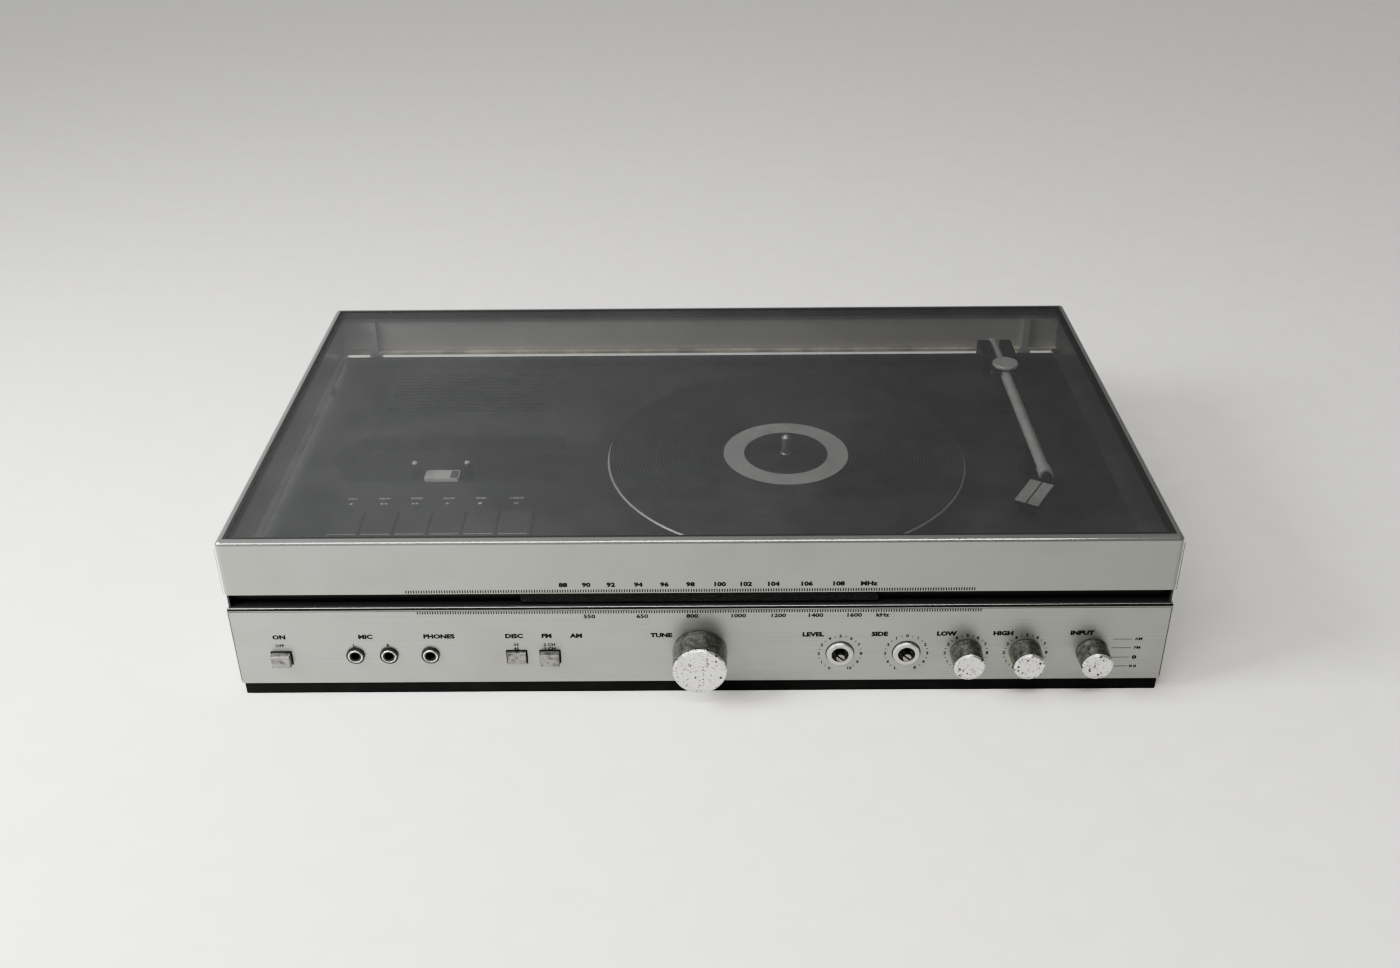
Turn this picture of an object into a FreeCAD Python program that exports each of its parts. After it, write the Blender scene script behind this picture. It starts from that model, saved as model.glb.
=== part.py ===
import FreeCAD, Part
import math
import os

os.makedirs("parts", exist_ok=True)

# Overall envelope, millimetres
WIDTH = 660.0
DEPTH = 390.0
FOOT_HEIGHT = 1.5
PLINTH_HEIGHT = 9.0
PANEL_HEIGHT = 65.0
DIAL_GAP = 12.0
LID_HEIGHT = 43.0

# Clearances
SEAT_GAP = 0.3
RUN_GAP = 0.05
PRESS_GAP = 0.02

# Cabinet
SHELL_WALL = 2.5
SHELL_CORNER = 3.0
FLANGE_WIDTH = 18.0
FLANGE_THICK = 2.5
PANEL_THICK = 2.5
PANEL_FLANGE = 16.0
PANEL_CORNER = 2.0
PANEL_EDGE = 1.0
PANEL_LINE_DROP = 2.2
PANEL_LINE_WIDTH = 0.6
PANEL_LINE_DEPTH = 0.5
PLINTH_INSET = 3.5
PLINTH_TAPER = 2.5
TRAY_WALL = 3.0
TRAY_FLOOR = 2.0
FOOT_RADIUS = 11.0
FOOT_TIP_RADIUS = 9.5
FOOT_INSET = 48.0
TRAY_SLOT_COUNT = 9
TRAY_SLOT_PITCH = 9.0
TRAY_SLOT_WIDTH = 4.0
TRAY_SLOT_LENGTH = 60.0
TRAY_SLOT_GAP = 3.0

# Deck and its grille
DECK_THICK = 4.0
DECK_INSET = 11.0
DECK_SIDE = 1.5
DECK_CORNER = 4.0
GRILLE_WIDTH = 149.0
GRILLE_DEPTH = 83.0
GRILLE_BACK = 69.5
GRILLE_THICK = 2.2
GRILLE_LEDGE = 4.0
GRILLE_SLOT_COUNT = 12
GRILLE_SLOT_WIDTH = 3.0
GRILLE_SLOT_PITCH = 6.2
GRILLE_SIDE = 7.0

# Lid
LID_WALL = 2.5
LID_CORNER = 4.0
LID_EDGE_ROUND = 3.5
RIM_WIDTH = 5.0
LEDGE_WIDTH = 4.0
LEDGE_THICK = 2.5
PANE_THICK = 3.2
PANE_GAP = 0.4
PANE_DROP = 0.3
LIP_WIDTH = 5.0
LIP_HEIGHT = 2.5
HINGE_SIDE = 32.0
HINGE_INSET = 4.0
HINGE_DROP = 3.0
HINGE_PIN_RADIUS = 1.5
HINGE_EYE_RADIUS = 2.6
HINGE_RIB_WIDTH = 6.0
HINGE_RIB_DEPTH = 5.0
HINGE_RIB_TOP = 6.0
HINGE_EAR = 2.5
BUFFER_RADIUS = 3.0
BUFFER_FRONT = 60.0
BUFFER_BACK = 70.0

# Turntable, whose radius is a quarter of the width less a margin
PLATTER_MARGIN = 22.6
PLATTER_SHIFT = 0.5
PLATTER_FORWARD = 11.0
PLATTER_LIFT = 2.0
PLATTER_HEIGHT = 10.0
PLATTER_PLATE = 3.0
PLATTER_RIM = 4.0
PLATTER_EDGE = 1.0
LAND_OUTER = 50.0
LAND_INNER = 33.0
MAT_THICK = 3.0
MAT_MARGIN = 1.8
MAT_GROOVE_RADIUS = 88.0
MAT_GROOVE_WIDTH = 2.0
MAT_GROOVE_DEPTH = 1.0
LAND_DROP = 0.5
DRIVE_RING_INSET = 60.4
DRIVE_RING_WALL = 4.0
DRIVE_RING_LIFT = 1.2
HUB_RADIUS = 12.0
SPINDLE_RADIUS = 3.575
SPINDLE_ABOVE_MAT = 16.0
SPINDLE_TIP = 2.0
SPINDLE_TIP_RADIUS = 1.6
SPINDLE_SHAFT_RADIUS = 4.5
BEARING_RADIUS = 9.0
BEARING_FLANGE_RADIUS = 15.0
BEARING_FLANGE = 1.5
BEARING_DEPTH = 26.0
BEARING_END = 4.0
MOTOR_ANGLE = 143.0
MOTOR_INSET = 24.4
MOTOR_RADIUS = 22.0
MOTOR_HEIGHT = 34.0
MOTOR_EDGE = 3.0
MOTOR_SHAFT_RADIUS = 1.5
MOTOR_SHAFT_DEPTH = 26.0
PULLEY_RADIUS = 6.0
PULLEY_LIP = 1.2
BELT_WIDTH = 4.0
BELT_THICK = 0.8

# Tonearm
ARM_INSET = 67.0
ARM_BACK = 91.0
RECORD_THICK = 2.0
STYLUS_GAP = 0.5
STYLUS_LENGTH = 1.5
STYLUS_RADIUS = 1.5
STYLUS_TIP_RADIUS = 0.3
CARTRIDGE_HEIGHT = 7.0
CARTRIDGE_WIDTH = 13.0
CARTRIDGE_LENGTH = 17.0
HEADSHELL_THICK = 3.5
HEADSHELL_WIDTH = 19.0
HEADSHELL_LENGTH = 34.0
HEADSHELL_NECK = 12.0
HEADSHELL_TURN = 31.0
HEADSHELL_FRONT_ROUND = 3.0
COLLAR_RADIUS = 5.4
COLLAR_LENGTH = 11.0
NAMEPLATE_THICK = 1.2
NAMEPLATE_SPLIT = 1.2
NAMEPLATE_EDGE = 0.5
TUBE_RADIUS = 4.4
TUBE_WALL = 0.8
TUBE_FRONT = 176.0
TUBE_REAR = 61.0
YOKE_WIDTH = 22.0
YOKE_DEPTH = 20.0
YOKE_CHEEK = 3.5
YOKE_ROUND = 2.0
YOKE_SHAFT_RADIUS = 4.0
YOKE_ABOVE_TUBE = 3.0
ARM_PIN_RADIUS = 1.4
CAP_RADIUS = 11.0
CAP_THICK = 2.4
ARM_BASE_RADIUS = 21.0
ARM_BASE_FLANGE = 3.0
ARM_COLUMN_RADIUS = 12.0
ARM_COLUMN_HEIGHT = 10.0
ARM_NUT_HEIGHT = 6.0
ARM_STEM_RADIUS = 8.0
ARM_EDGE = 0.8
WEIGHT_WIDTH = 30.0
WEIGHT_LENGTH = 34.0
WEIGHT_BELOW = 15.0
WEIGHT_ABOVE = 5.5
WEIGHT_START = 20.0
WEIGHT_ROUND = 2.0
REST_FORWARD = 120.0
REST_RADIUS = 4.0
REST_BASE_RADIUS = 8.0
REST_BASE_HEIGHT = 2.0
REST_SHELF_WIDTH = 10.0
REST_SHELF_THICK = 3.0
REST_ROUND = 2.0

# Cassette deck
TAPE_INSET = 120.0
WELL_SHIFT = 14.0
WELL_BACK = 186.0
WELL_HALF_LENGTH = 106.0
WELL_FLAT_HALF = 83.0
WELL_HALF_WIDTH = 38.0
WELL_DEPTH = 14.0
WELL_WALL = 2.0
WELL_FLANGE = 5.0
HUB_SPACING = 42.5
HUB_FORWARD = 7.0
REEL_SHAFT_RADIUS = 2.0
REEL_SHAFT_DEPTH = 16.0
REEL_FLANGE_RADIUS = 5.2
REEL_FLANGE = 1.8
REEL_POST_RADIUS = 3.0
REEL_FIN_RADIUS = 4.4
REEL_FIN_THICK = 1.2
REEL_FIN_COUNT = 3
REEL_TIP_RADIUS = 1.6
REEL_HEIGHT = 14.0
REEL_TIP = 2.6
LIGHT_WIDTH = 28.0
LIGHT_DEPTH = 13.7
LIGHT_HEIGHT = 3.0
LIGHT_ROUND = 1.5
TRANSPORT_HEIGHT = 35.0
TRANSPORT_FRONT = 16.0
TRANSPORT_END = 4.0
KEY_COUNT = 6
KEY_PITCH = 25.6
KEY_GAP = 0.8
KEY_LENGTH = 34.0
KEY_BACK = 291.0
KEY_ROW_SHIFT = 7.2
KEY_PROUD = 4.5
KEY_SINK = 2.0
KEY_ROUND = 1.5
KEY_ROD_RADIUS = 2.0
KEY_ROD_BACK = 8.0
KEY_ROD_DROP = 8.0
KEY_EYE_RADIUS = 5.0
KEY_LEVER_WIDTH = 10.0
KEY_LEVER_REACH = 14.0
KEY_TRAVEL_ROOM = 3.5
KEY_REAR_ROOM = 2.0

# Dial slot
DIAL_FRONT = 1.5
DIAL_FLOOR = 1.0
DIAL_WALL = 1.5
DIAL_TOP_GAP = 1.0
WINDOW_LENGTH = 249.0
WINDOW_BACK = 2.0
WINDOW_THICK = 2.0
POINTER_X = 72.0
POINTER_WIDTH = 1.4
POINTER_FOOT = 9.0
POINTER_FOOT_HEIGHT = 1.8

# Front controls, insets from the nearer side and heights above the panel's lower edge
POWER_INSET = 32.5
SPEED_INSET = 200.0
STEREO_INSET = 223.6
BUTTON_RISE = 22.3
BUTTON_WIDTH = 13.4
BUTTON_HEIGHT = 10.0
BUTTON_DEPTH = 11.0
BUTTON_ROUND = 0.8
POWER_PROUD = 5.5
SPEED_PROUD = 2.4
STEREO_PROUD = 5.5
BUTTON_TRAVEL = 3.6
BUTTON_STEM = 4.0
BUTTON_STEM_LENGTH = 9.0
SWITCH_WALL = 3.0
SWITCH_DEPTH = 32.0
JACK_INSETS = (85.3, 109.2, 138.7)
JACK_RISE = 24.6
JACK_BORE_RADIUS = 3.25
JACK_BUSH_RADIUS = 5.2
JACK_NUT_RADIUS = 6.5
JACK_NUT_THICK = 1.8
JACK_BODY_WIDTH = 15.0
JACK_BODY_DEPTH = 28.0
JACK_END = 3.0
TUNING_RISE = 25.1
TUNING_RADIUS = 19.5
TUNING_REACH = 22.6
KNOB_RISE = 24.0
BASS_INSET = 141.0
TREBLE_INSET = 99.0
SELECTOR_INSET = 51.5
KNOB_RADIUS = 11.4
KNOB_TAPER = 0.6
KNOB_REACH = 18.3
KNOB_STAND = 0.6
KNOB_BEVEL = 1.2
KNOB_FACE_SINK = 0.4
VOLUME_INSET = 230.5
BALANCE_INSET = 183.4
SHAFT_RADIUS = 3.0
SHAFT_PROUD = 6.0
SHAFT_DEPTH = 9.0
SHAFT_SLOT = 1.2
SHAFT_SLOT_DEPTH = 5.0
SHAFT_SLOT_TURN = 40.0
SHAFT_HOLE_GAP = 0.5
COLLAR_OUTER = 9.65
COLLAR_HOLE = 6.15
COLLAR_PROUD = 2.4
COLLAR_EDGE = 0.8
POT_RADIUS = 11.0
POT_DEPTH = 14.0

# Inner units and the rear
BOARD_ROOM = 31.0
BOARD_WIDTH = 240.0
BOARD_FRONT = 80.0
BOARD_DEPTH = 150.0
BOARD_THICK = 1.6
BOARD_POST_RADIUS = 4.0
BOARD_POST_HEIGHT = 6.0
BOARD_POST_INSET = 8.0
SINK_WIDTH = 90.0
SINK_HEIGHT = 26.0
SINK_FIN = 2.0
SINK_FIN_PITCH = 8.0
SINK_FIN_DEPTH = 16.0
CAPACITOR_RADIUS = 11.0
CAPACITOR_HEIGHT = 30.0
CAPACITOR_STEP = 28.0
CAPACITOR_COUNT = 2
TRANSFORMER_INSET = 105.0
TRANSFORMER_BACK = 60.0
TRANSFORMER_CORE = 66.0
TRANSFORMER_DEPTH = 34.0
TRANSFORMER_HEIGHT = 50.0
TRANSFORMER_COIL = 54.0
TRANSFORMER_COIL_HEIGHT = 30.0
COIL_MARGIN = 3.0
COIL_ROUND = 3.0
STRAP_REACH = 11.0
STRAP_THICK = 2.0
TUNER_INSET = 84.0
TUNER_FRONT = 110.0
TUNER_WIDTH = 110.0
TUNER_DEPTH = 70.0
TUNER_HEIGHT = 32.0
TUNER_ROUND = 3.0
TUNER_RIB = 1.5
TUNER_RIB_COUNT = 3
TUNER_RIB_PITCH = 27.5
SOCKET_X = -40.0
SOCKET_WIDTH = 190.0
SOCKET_HEIGHT = 34.0
SOCKET_RISE = 14.0
SOCKET_PLATE = 1.5
SOCKET_BORDER = 4.0
DIN_COUNT = 4
DIN_PITCH = 42.0
DIN_RADIUS = 8.0
DIN_RECESS = 1.2
DIN_WALL = 1.2
DIN_BODY = 12.0
GLAND_INSET = 80.0
GLAND_RISE = 20.0
GLAND_RADIUS = 5.0
GLAND_HEAD_RADIUS = 8.0
GLAND_REACH = 6.6
GLAND_TAIL = 7.0
GLAND_HOLE = 3.2

# Levels worked out from the sizes above
PANEL_BOTTOM = FOOT_HEIGHT + PLINTH_HEIGHT
PANEL_TOP = PANEL_BOTTOM + PANEL_HEIGHT
LID_BOTTOM = PANEL_TOP + DIAL_GAP
LID_TOP = LID_BOTTOM + LID_HEIGHT
DECK_TOP = PANEL_TOP + DECK_THICK
TRAY_TOP = FOOT_HEIGHT + TRAY_FLOOR
PLATTER_BOTTOM = DECK_TOP + PLATTER_LIFT
PLATTER_TOP = PLATTER_BOTTOM + PLATTER_HEIGHT
MAT_TOP = PLATTER_TOP + MAT_THICK
DRIVE_BOTTOM = PLATTER_BOTTOM + DRIVE_RING_LIFT
DRIVE_TOP = PLATTER_TOP - PLATTER_PLATE
BELT_BOTTOM = (DRIVE_BOTTOM + DRIVE_TOP - BELT_WIDTH) / 2
STYLUS_Z = MAT_TOP + RECORD_THICK + STYLUS_GAP
HEADSHELL_BOTTOM = STYLUS_Z + STYLUS_LENGTH + CARTRIDGE_HEIGHT
HEADSHELL_TOP = HEADSHELL_BOTTOM + HEADSHELL_THICK
TUBE_Z = HEADSHELL_BOTTOM + HEADSHELL_THICK / 2
YOKE_TOP = TUBE_Z + TUBE_RADIUS + YOKE_ABOVE_TUBE
COLUMN_TOP = DECK_TOP + ARM_BASE_FLANGE + ARM_COLUMN_HEIGHT
WELL_FLOOR = DECK_TOP - WELL_DEPTH
TRANSPORT_TOP = WELL_FLOOR - WELL_WALL
KEY_ROD_Z = PANEL_TOP - KEY_ROD_DROP
HINGE_Z = LID_BOTTOM - HINGE_DROP
PANE_TOP = LID_TOP - PANE_DROP
PANE_BOTTOM = PANE_TOP - PANE_THICK
DIAL_TOP = LID_BOTTOM - DIAL_TOP_GAP
BOARD_Z = TRAY_TOP + BOARD_POST_HEIGHT

# Places worked out from the sizes above, with the origin under the middle of the whole object
FRONT = (TUNING_REACH - DEPTH - GLAND_REACH) / 2
REAR = FRONT + DEPTH
LEFT = -WIDTH / 2
RIGHT = WIDTH / 2
ARM_X = RIGHT - ARM_INSET
ARM_Y = REAR - ARM_BACK
REST_Y = ARM_Y - REST_FORWARD
PLUG_RADIUS = TUBE_RADIUS - TUBE_WALL - PRESS_GAP
BEND_Y = ARM_Y - TUBE_FRONT - PLUG_RADIUS
TAPE_X = LEFT + TAPE_INSET
WELL_X = TAPE_X + WELL_SHIFT
WELL_Y = REAR - WELL_BACK
HUB_Y = WELL_Y - HUB_FORWARD
KEY_ROW_X = TAPE_X + KEY_ROW_SHIFT
KEY_Y = REAR - KEY_BACK
KEY_REAR = KEY_Y + KEY_LENGTH / 2
KEY_ROD_Y = KEY_REAR + KEY_ROD_BACK
KEY_ROW_HALF = KEY_COUNT * KEY_PITCH / 2
PLATTER_RADIUS = WIDTH / 4 - PLATTER_MARGIN
PLATTER_X = (KEY_ROW_X + KEY_ROW_HALF + ARM_X) / 2 + PLATTER_SHIFT
PLATTER_Y = FRONT + DEPTH / 2 - PLATTER_FORWARD
DRIVE_RING_RADIUS = PLATTER_RADIUS - DRIVE_RING_INSET
MOTOR_DISTANCE = PLATTER_RADIUS - MOTOR_INSET
MOTOR_X = PLATTER_X + MOTOR_DISTANCE * math.cos(math.radians(MOTOR_ANGLE))
MOTOR_Y = PLATTER_Y + MOTOR_DISTANCE * math.sin(math.radians(MOTOR_ANGLE))
TUNER_X = RIGHT - TUNER_INSET
BOARD_LEFT = TUNER_X - TUNER_WIDTH / 2 - BOARD_ROOM - BOARD_WIDTH
GRILLE_Y = REAR - GRILLE_BACK
HINGE_Y = REAR - HINGE_INSET
HINGE_X = RIGHT - HINGE_SIDE
DECK_FRONT = FRONT + DECK_INSET
PANEL_BACK = FRONT + PANEL_THICK
BUTTON_Z = PANEL_BOTTOM + BUTTON_RISE
JACK_Z = PANEL_BOTTOM + JACK_RISE
KNOB_Z = PANEL_BOTTOM + KNOB_RISE
TUNING_Z = PANEL_BOTTOM + TUNING_RISE
SOCKET_Z = PANEL_BOTTOM + SOCKET_RISE
GLAND_X = RIGHT - GLAND_INSET
GLAND_Z = PANEL_BOTTOM + GLAND_RISE

# Knobs and shafts by name: place along the panel and height
KNOB_PLACES = {
    "bass_knob": RIGHT - BASS_INSET,
    "treble_knob": RIGHT - TREBLE_INSET,
    "selector_knob": RIGHT - SELECTOR_INSET,
}
BARE_SHAFT_PLACES = {
    "volume_shaft": RIGHT - VOLUME_INSET,
    "balance_shaft": RIGHT - BALANCE_INSET,
}
BUTTON_PLACES = {
    "power_button": (LEFT + POWER_INSET, POWER_PROUD),
    "speed_button": (LEFT + SPEED_INSET, SPEED_PROUD),
    "stereo_button": (LEFT + STEREO_INSET, STEREO_PROUD),
}
KEY_NAMES = ("key_record", "key_rewind", "key_wind", "key_play", "key_stop", "key_pause")
JACK_PLACES = [LEFT + inset for inset in JACK_INSETS]


def vec(x, y, z):
    """A point or direction."""
    return FreeCAD.Vector(x, y, z)


def block(x0, x1, y0, y1, z0, z1):
    """A box between two corners."""
    return Part.makeBox(x1 - x0, y1 - y0, z1 - z0, vec(x0, y0, z0))


def rod(x, y, z, axis, length, radius):
    """A cylinder that starts at a point and runs along an axis."""
    return Part.makeCylinder(radius, length, vec(x, y, z), axis)


def post(x, y, z0, z1, radius):
    """An upright cylinder."""
    return rod(x, y, z0, vec(0, 0, 1), z1 - z0, radius)


def dowel(x, z, y0, y1, radius):
    """A cylinder that runs from front to back."""
    return rod(x, y0, z, vec(0, 1, 0), y1 - y0, radius)


def pin(x0, x1, y, z, radius):
    """A cylinder that runs from left to right."""
    return rod(x0, y, z, vec(1, 0, 0), x1 - x0, radius)


def polygon(points):
    """A closed wire through points."""
    return Part.makePolygon(points + points[:1])


def prism(points, travel):
    """A straight solid on a polygon."""
    return Part.Face(polygon(points)).extrude(travel)


def turned_up(x, y, profile):
    """A body of revolution about an upright axis, from radius and height pairs."""
    face = Part.Face(polygon([vec(x + radius, y, z) for radius, z in profile]))
    return face.revolve(vec(x, y, 0), vec(0, 0, 1), 360)


def turned_out(x, z, profile):
    """A body of revolution about an axis from front to back, from radius and depth pairs."""
    face = Part.Face(polygon([vec(x + radius, y, z) for radius, y in profile]))
    return face.revolve(vec(x, 0, z), vec(0, 1, 0), 360)


def edges_along(shape, direction):
    """The straight edges of a shape that run along a direction."""
    found = []
    for edge in shape.Edges:
        if not isinstance(edge.Curve, Part.Line):
            continue
        if abs(edge.tangentAt(edge.FirstParameter).dot(direction)) > 0.999:
            found.append(edge)
    return found


def edges_at(shape, height):
    """The edges of a shape that lie at one height."""
    low = height - PRESS_GAP
    high = height + PRESS_GAP
    return [edge for edge in shape.Edges if edge.BoundBox.ZMin > low and edge.BoundBox.ZMax < high]


def upright_round(shape, radius):
    """The shape with its upright edges rounded."""
    return shape.makeFillet(radius, edges_along(shape, vec(0, 0, 1)))


def fuse(shapes):
    """One solid made of several that meet."""
    whole = shapes[0].multiFuse(shapes[1:])
    return whole.removeSplitter()


def make_feet():
    """Four rubber feet under the tray."""
    feet = []
    for x in (LEFT + FOOT_INSET, RIGHT - FOOT_INSET):
        for y in (FRONT + FOOT_INSET, REAR - FOOT_INSET):
            feet.append(Part.makeCone(FOOT_TIP_RADIUS, FOOT_RADIUS, FOOT_HEIGHT, vec(x, y, 0)))
    return feet


def tray_outline(inset, z):
    """The tray's outline, drawn in from the cabinet's walls."""
    return polygon([
        vec(LEFT + inset, FRONT + inset, z),
        vec(RIGHT - inset, FRONT + inset, z),
        vec(RIGHT - inset, REAR - inset, z),
        vec(LEFT + inset, REAR - inset, z),
    ])


def board_post_places():
    """The four corners where the amplifier board stands."""
    x0 = BOARD_LEFT + BOARD_POST_INSET
    x1 = BOARD_LEFT + BOARD_WIDTH - BOARD_POST_INSET
    y0 = FRONT + BOARD_FRONT + BOARD_POST_INSET
    y1 = FRONT + BOARD_FRONT + BOARD_DEPTH - BOARD_POST_INSET
    return [(x0, y0), (x1, y0), (x1, y1), (x0, y1)]


def make_base_tray():
    """Black plinth tray with drawn-in sides, board posts and vent slots under the transformer."""
    low = tray_outline(PLINTH_INSET + PLINTH_TAPER, FOOT_HEIGHT)
    high = tray_outline(PLINTH_INSET, PANEL_BOTTOM)
    tray = Part.makeLoft([low, high], True, True)
    inset = PLINTH_INSET + PLINTH_TAPER + TRAY_WALL
    hollow = block(LEFT + inset, RIGHT - inset, FRONT + inset, REAR - inset, TRAY_TOP, PANEL_BOTTOM)
    tray = tray.cut(hollow)
    tray = fuse([tray] + [post(x, y, TRAY_TOP, BOARD_Z, BOARD_POST_RADIUS) for x, y in board_post_places()])
    slots = []
    x0 = RIGHT - TRANSFORMER_INSET - (TRAY_SLOT_COUNT - 1) * TRAY_SLOT_PITCH / 2
    y0 = REAR - TRANSFORMER_BACK - TRANSFORMER_DEPTH / 2 - TRAY_SLOT_GAP - TRAY_SLOT_LENGTH
    for index in range(TRAY_SLOT_COUNT):
        x = x0 + index * TRAY_SLOT_PITCH
        half = TRAY_SLOT_WIDTH / 2
        slots.append(block(x - half, x + half, y0, y0 + TRAY_SLOT_LENGTH, FOOT_HEIGHT, TRAY_TOP))
    return [tray.cut(Part.Compound(slots))]


def make_cabinet_shell():
    """Side and rear walls with flanges above and below, open to the front."""
    shell = block(LEFT, RIGHT, PANEL_BACK, REAR, PANEL_BOTTOM, PANEL_TOP)
    upright = edges_along(shell, vec(0, 0, 1))
    rear_edges = [edge for edge in upright if edge.BoundBox.YMin > REAR - PRESS_GAP]
    shell = shell.makeFillet(SHELL_CORNER, rear_edges)
    lower = [edge for edge in edges_at(shell, PANEL_BOTTOM) if edge.BoundBox.YMax > PANEL_BACK + PRESS_GAP]
    shell = shell.makeFillet(PANEL_CORNER, lower)
    room = block(
        LEFT + SHELL_WALL, RIGHT - SHELL_WALL, PANEL_BACK, REAR - SHELL_WALL,
        PANEL_BOTTOM + FLANGE_THICK, PANEL_TOP - FLANGE_THICK,
    )
    mouth = block(
        LEFT + FLANGE_WIDTH, RIGHT - FLANGE_WIDTH, PANEL_BACK, REAR - FLANGE_WIDTH,
        PANEL_BOTTOM, PANEL_TOP,
    )
    half = SOCKET_WIDTH / 2 - SOCKET_BORDER
    window = block(
        SOCKET_X - half, SOCKET_X + half, REAR - SHELL_WALL, REAR,
        SOCKET_Z + SOCKET_BORDER, SOCKET_Z + SOCKET_HEIGHT - SOCKET_BORDER,
    )
    gland_hole = dowel(GLAND_X, GLAND_Z, REAR - SHELL_WALL, REAR, GLAND_RADIUS + PRESS_GAP)
    return [shell.cut(Part.Compound([room, mouth])).cut(Part.Compound([window, gland_hole]))]


def make_front_panel():
    """Front plate with a lined top edge, flanges above and below and a hole for each control."""
    plate = block(LEFT, RIGHT, FRONT, PANEL_BACK, PANEL_BOTTOM, PANEL_TOP)
    ends = edges_along(plate, vec(0, 1, 0))
    lower = [edge for edge in ends if edge.BoundBox.ZMax < PANEL_BOTTOM + PRESS_GAP]
    plate = plate.makeFillet(PANEL_CORNER, lower)
    upper = [edge for edge in edges_at(plate, PANEL_TOP) if edge.BoundBox.YMax < FRONT + PRESS_GAP]
    plate = plate.makeChamfer(PANEL_EDGE, upper)
    line = PANEL_TOP - PANEL_LINE_DROP
    plate = plate.cut(block(LEFT, RIGHT, FRONT, FRONT + PANEL_LINE_DEPTH, line - PANEL_LINE_WIDTH, line))
    side = FLANGE_WIDTH + SEAT_GAP
    reach = FRONT + PANEL_FLANGE
    flanges = []
    for z in (PANEL_BOTTOM, PANEL_TOP - FLANGE_THICK):
        flanges.append(block(LEFT + side, RIGHT - side, PANEL_BACK, reach, z, z + FLANGE_THICK))
    panel = fuse([plate] + flanges)
    holes = []
    half = BUTTON_WIDTH / 2 + SEAT_GAP
    rise = BUTTON_HEIGHT / 2 + SEAT_GAP
    for x, _ in BUTTON_PLACES.values():
        holes.append(block(x - half, x + half, FRONT, PANEL_BACK, BUTTON_Z - rise, BUTTON_Z + rise))
    for x in JACK_PLACES:
        holes.append(dowel(x, JACK_Z, FRONT, PANEL_BACK, JACK_BUSH_RADIUS + PRESS_GAP))
    for x in list(KNOB_PLACES.values()) + list(BARE_SHAFT_PLACES.values()):
        holes.append(dowel(x, KNOB_Z, FRONT, PANEL_BACK, SHAFT_RADIUS + SHAFT_HOLE_GAP))
    holes.append(dowel(0, TUNING_Z, FRONT, PANEL_BACK, SHAFT_RADIUS + SHAFT_HOLE_GAP))
    return [panel.cut(Part.Compound(holes))]


def well_outline(grow, z):
    """The six-sided outline of the cassette well, grown outwards."""
    slope = math.atan2(WELL_HALF_WIDTH, WELL_HALF_LENGTH - WELL_FLAT_HALF)
    tip = WELL_HALF_LENGTH + grow / math.sin(slope)
    width = WELL_HALF_WIDTH + grow
    flat = tip - width / math.tan(slope)
    corners = [(-tip, 0), (-flat, -width), (flat, -width), (tip, 0), (flat, width), (-flat, width)]
    return [vec(WELL_X + x, WELL_Y + y, z) for x, y in corners]


def make_deck_plate():
    """Dark top plate with openings for the grille, the well, the keys, the turntable and the arm."""
    deck = block(LEFT + DECK_SIDE, RIGHT - DECK_SIDE, DECK_FRONT, REAR - DECK_SIDE, PANEL_TOP, DECK_TOP)
    deck = upright_round(deck, DECK_CORNER)
    notch_half = HINGE_RIB_WIDTH / 2 + SEAT_GAP + HINGE_EAR + SEAT_GAP
    notch_front = HINGE_Y - HINGE_EYE_RADIUS - SEAT_GAP
    for x in (-HINGE_X, HINGE_X):
        deck = deck.cut(block(x - notch_half, x + notch_half, notch_front, REAR, PANEL_TOP, DECK_TOP))
    half_w = GRILLE_WIDTH / 2 + SEAT_GAP
    half_d = GRILLE_DEPTH / 2 + SEAT_GAP
    rebate = block(
        KEY_ROW_X - half_w, KEY_ROW_X + half_w, GRILLE_Y - half_d, GRILLE_Y + half_d,
        DECK_TOP - GRILLE_THICK, DECK_TOP,
    )
    vent = block(
        KEY_ROW_X - half_w + GRILLE_LEDGE, KEY_ROW_X + half_w - GRILLE_LEDGE,
        GRILLE_Y - half_d + GRILLE_LEDGE, GRILLE_Y + half_d - GRILLE_LEDGE, PANEL_TOP, DECK_TOP,
    )
    well = prism(well_outline(0, PANEL_TOP), vec(0, 0, DECK_THICK))
    keys = block(
        KEY_ROW_X - KEY_ROW_HALF - KEY_GAP / 2, KEY_ROW_X + KEY_ROW_HALF + KEY_GAP / 2,
        KEY_REAR - KEY_LENGTH - KEY_TRAVEL_ROOM, KEY_REAR + KEY_REAR_ROOM, PANEL_TOP, DECK_TOP,
    )
    bearing = post(PLATTER_X, PLATTER_Y, PANEL_TOP, DECK_TOP, BEARING_RADIUS + SEAT_GAP)
    pulley = post(MOTOR_X, MOTOR_Y, PANEL_TOP, DECK_TOP, PULLEY_RADIUS + PULLEY_LIP + SEAT_GAP)
    arm = post(ARM_X, ARM_Y, PANEL_TOP, DECK_TOP, ARM_STEM_RADIUS + SEAT_GAP)
    return [deck.cut(Part.Compound([rebate])).cut(Part.Compound([vent, well, keys, bearing, pulley, arm]))]


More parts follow.
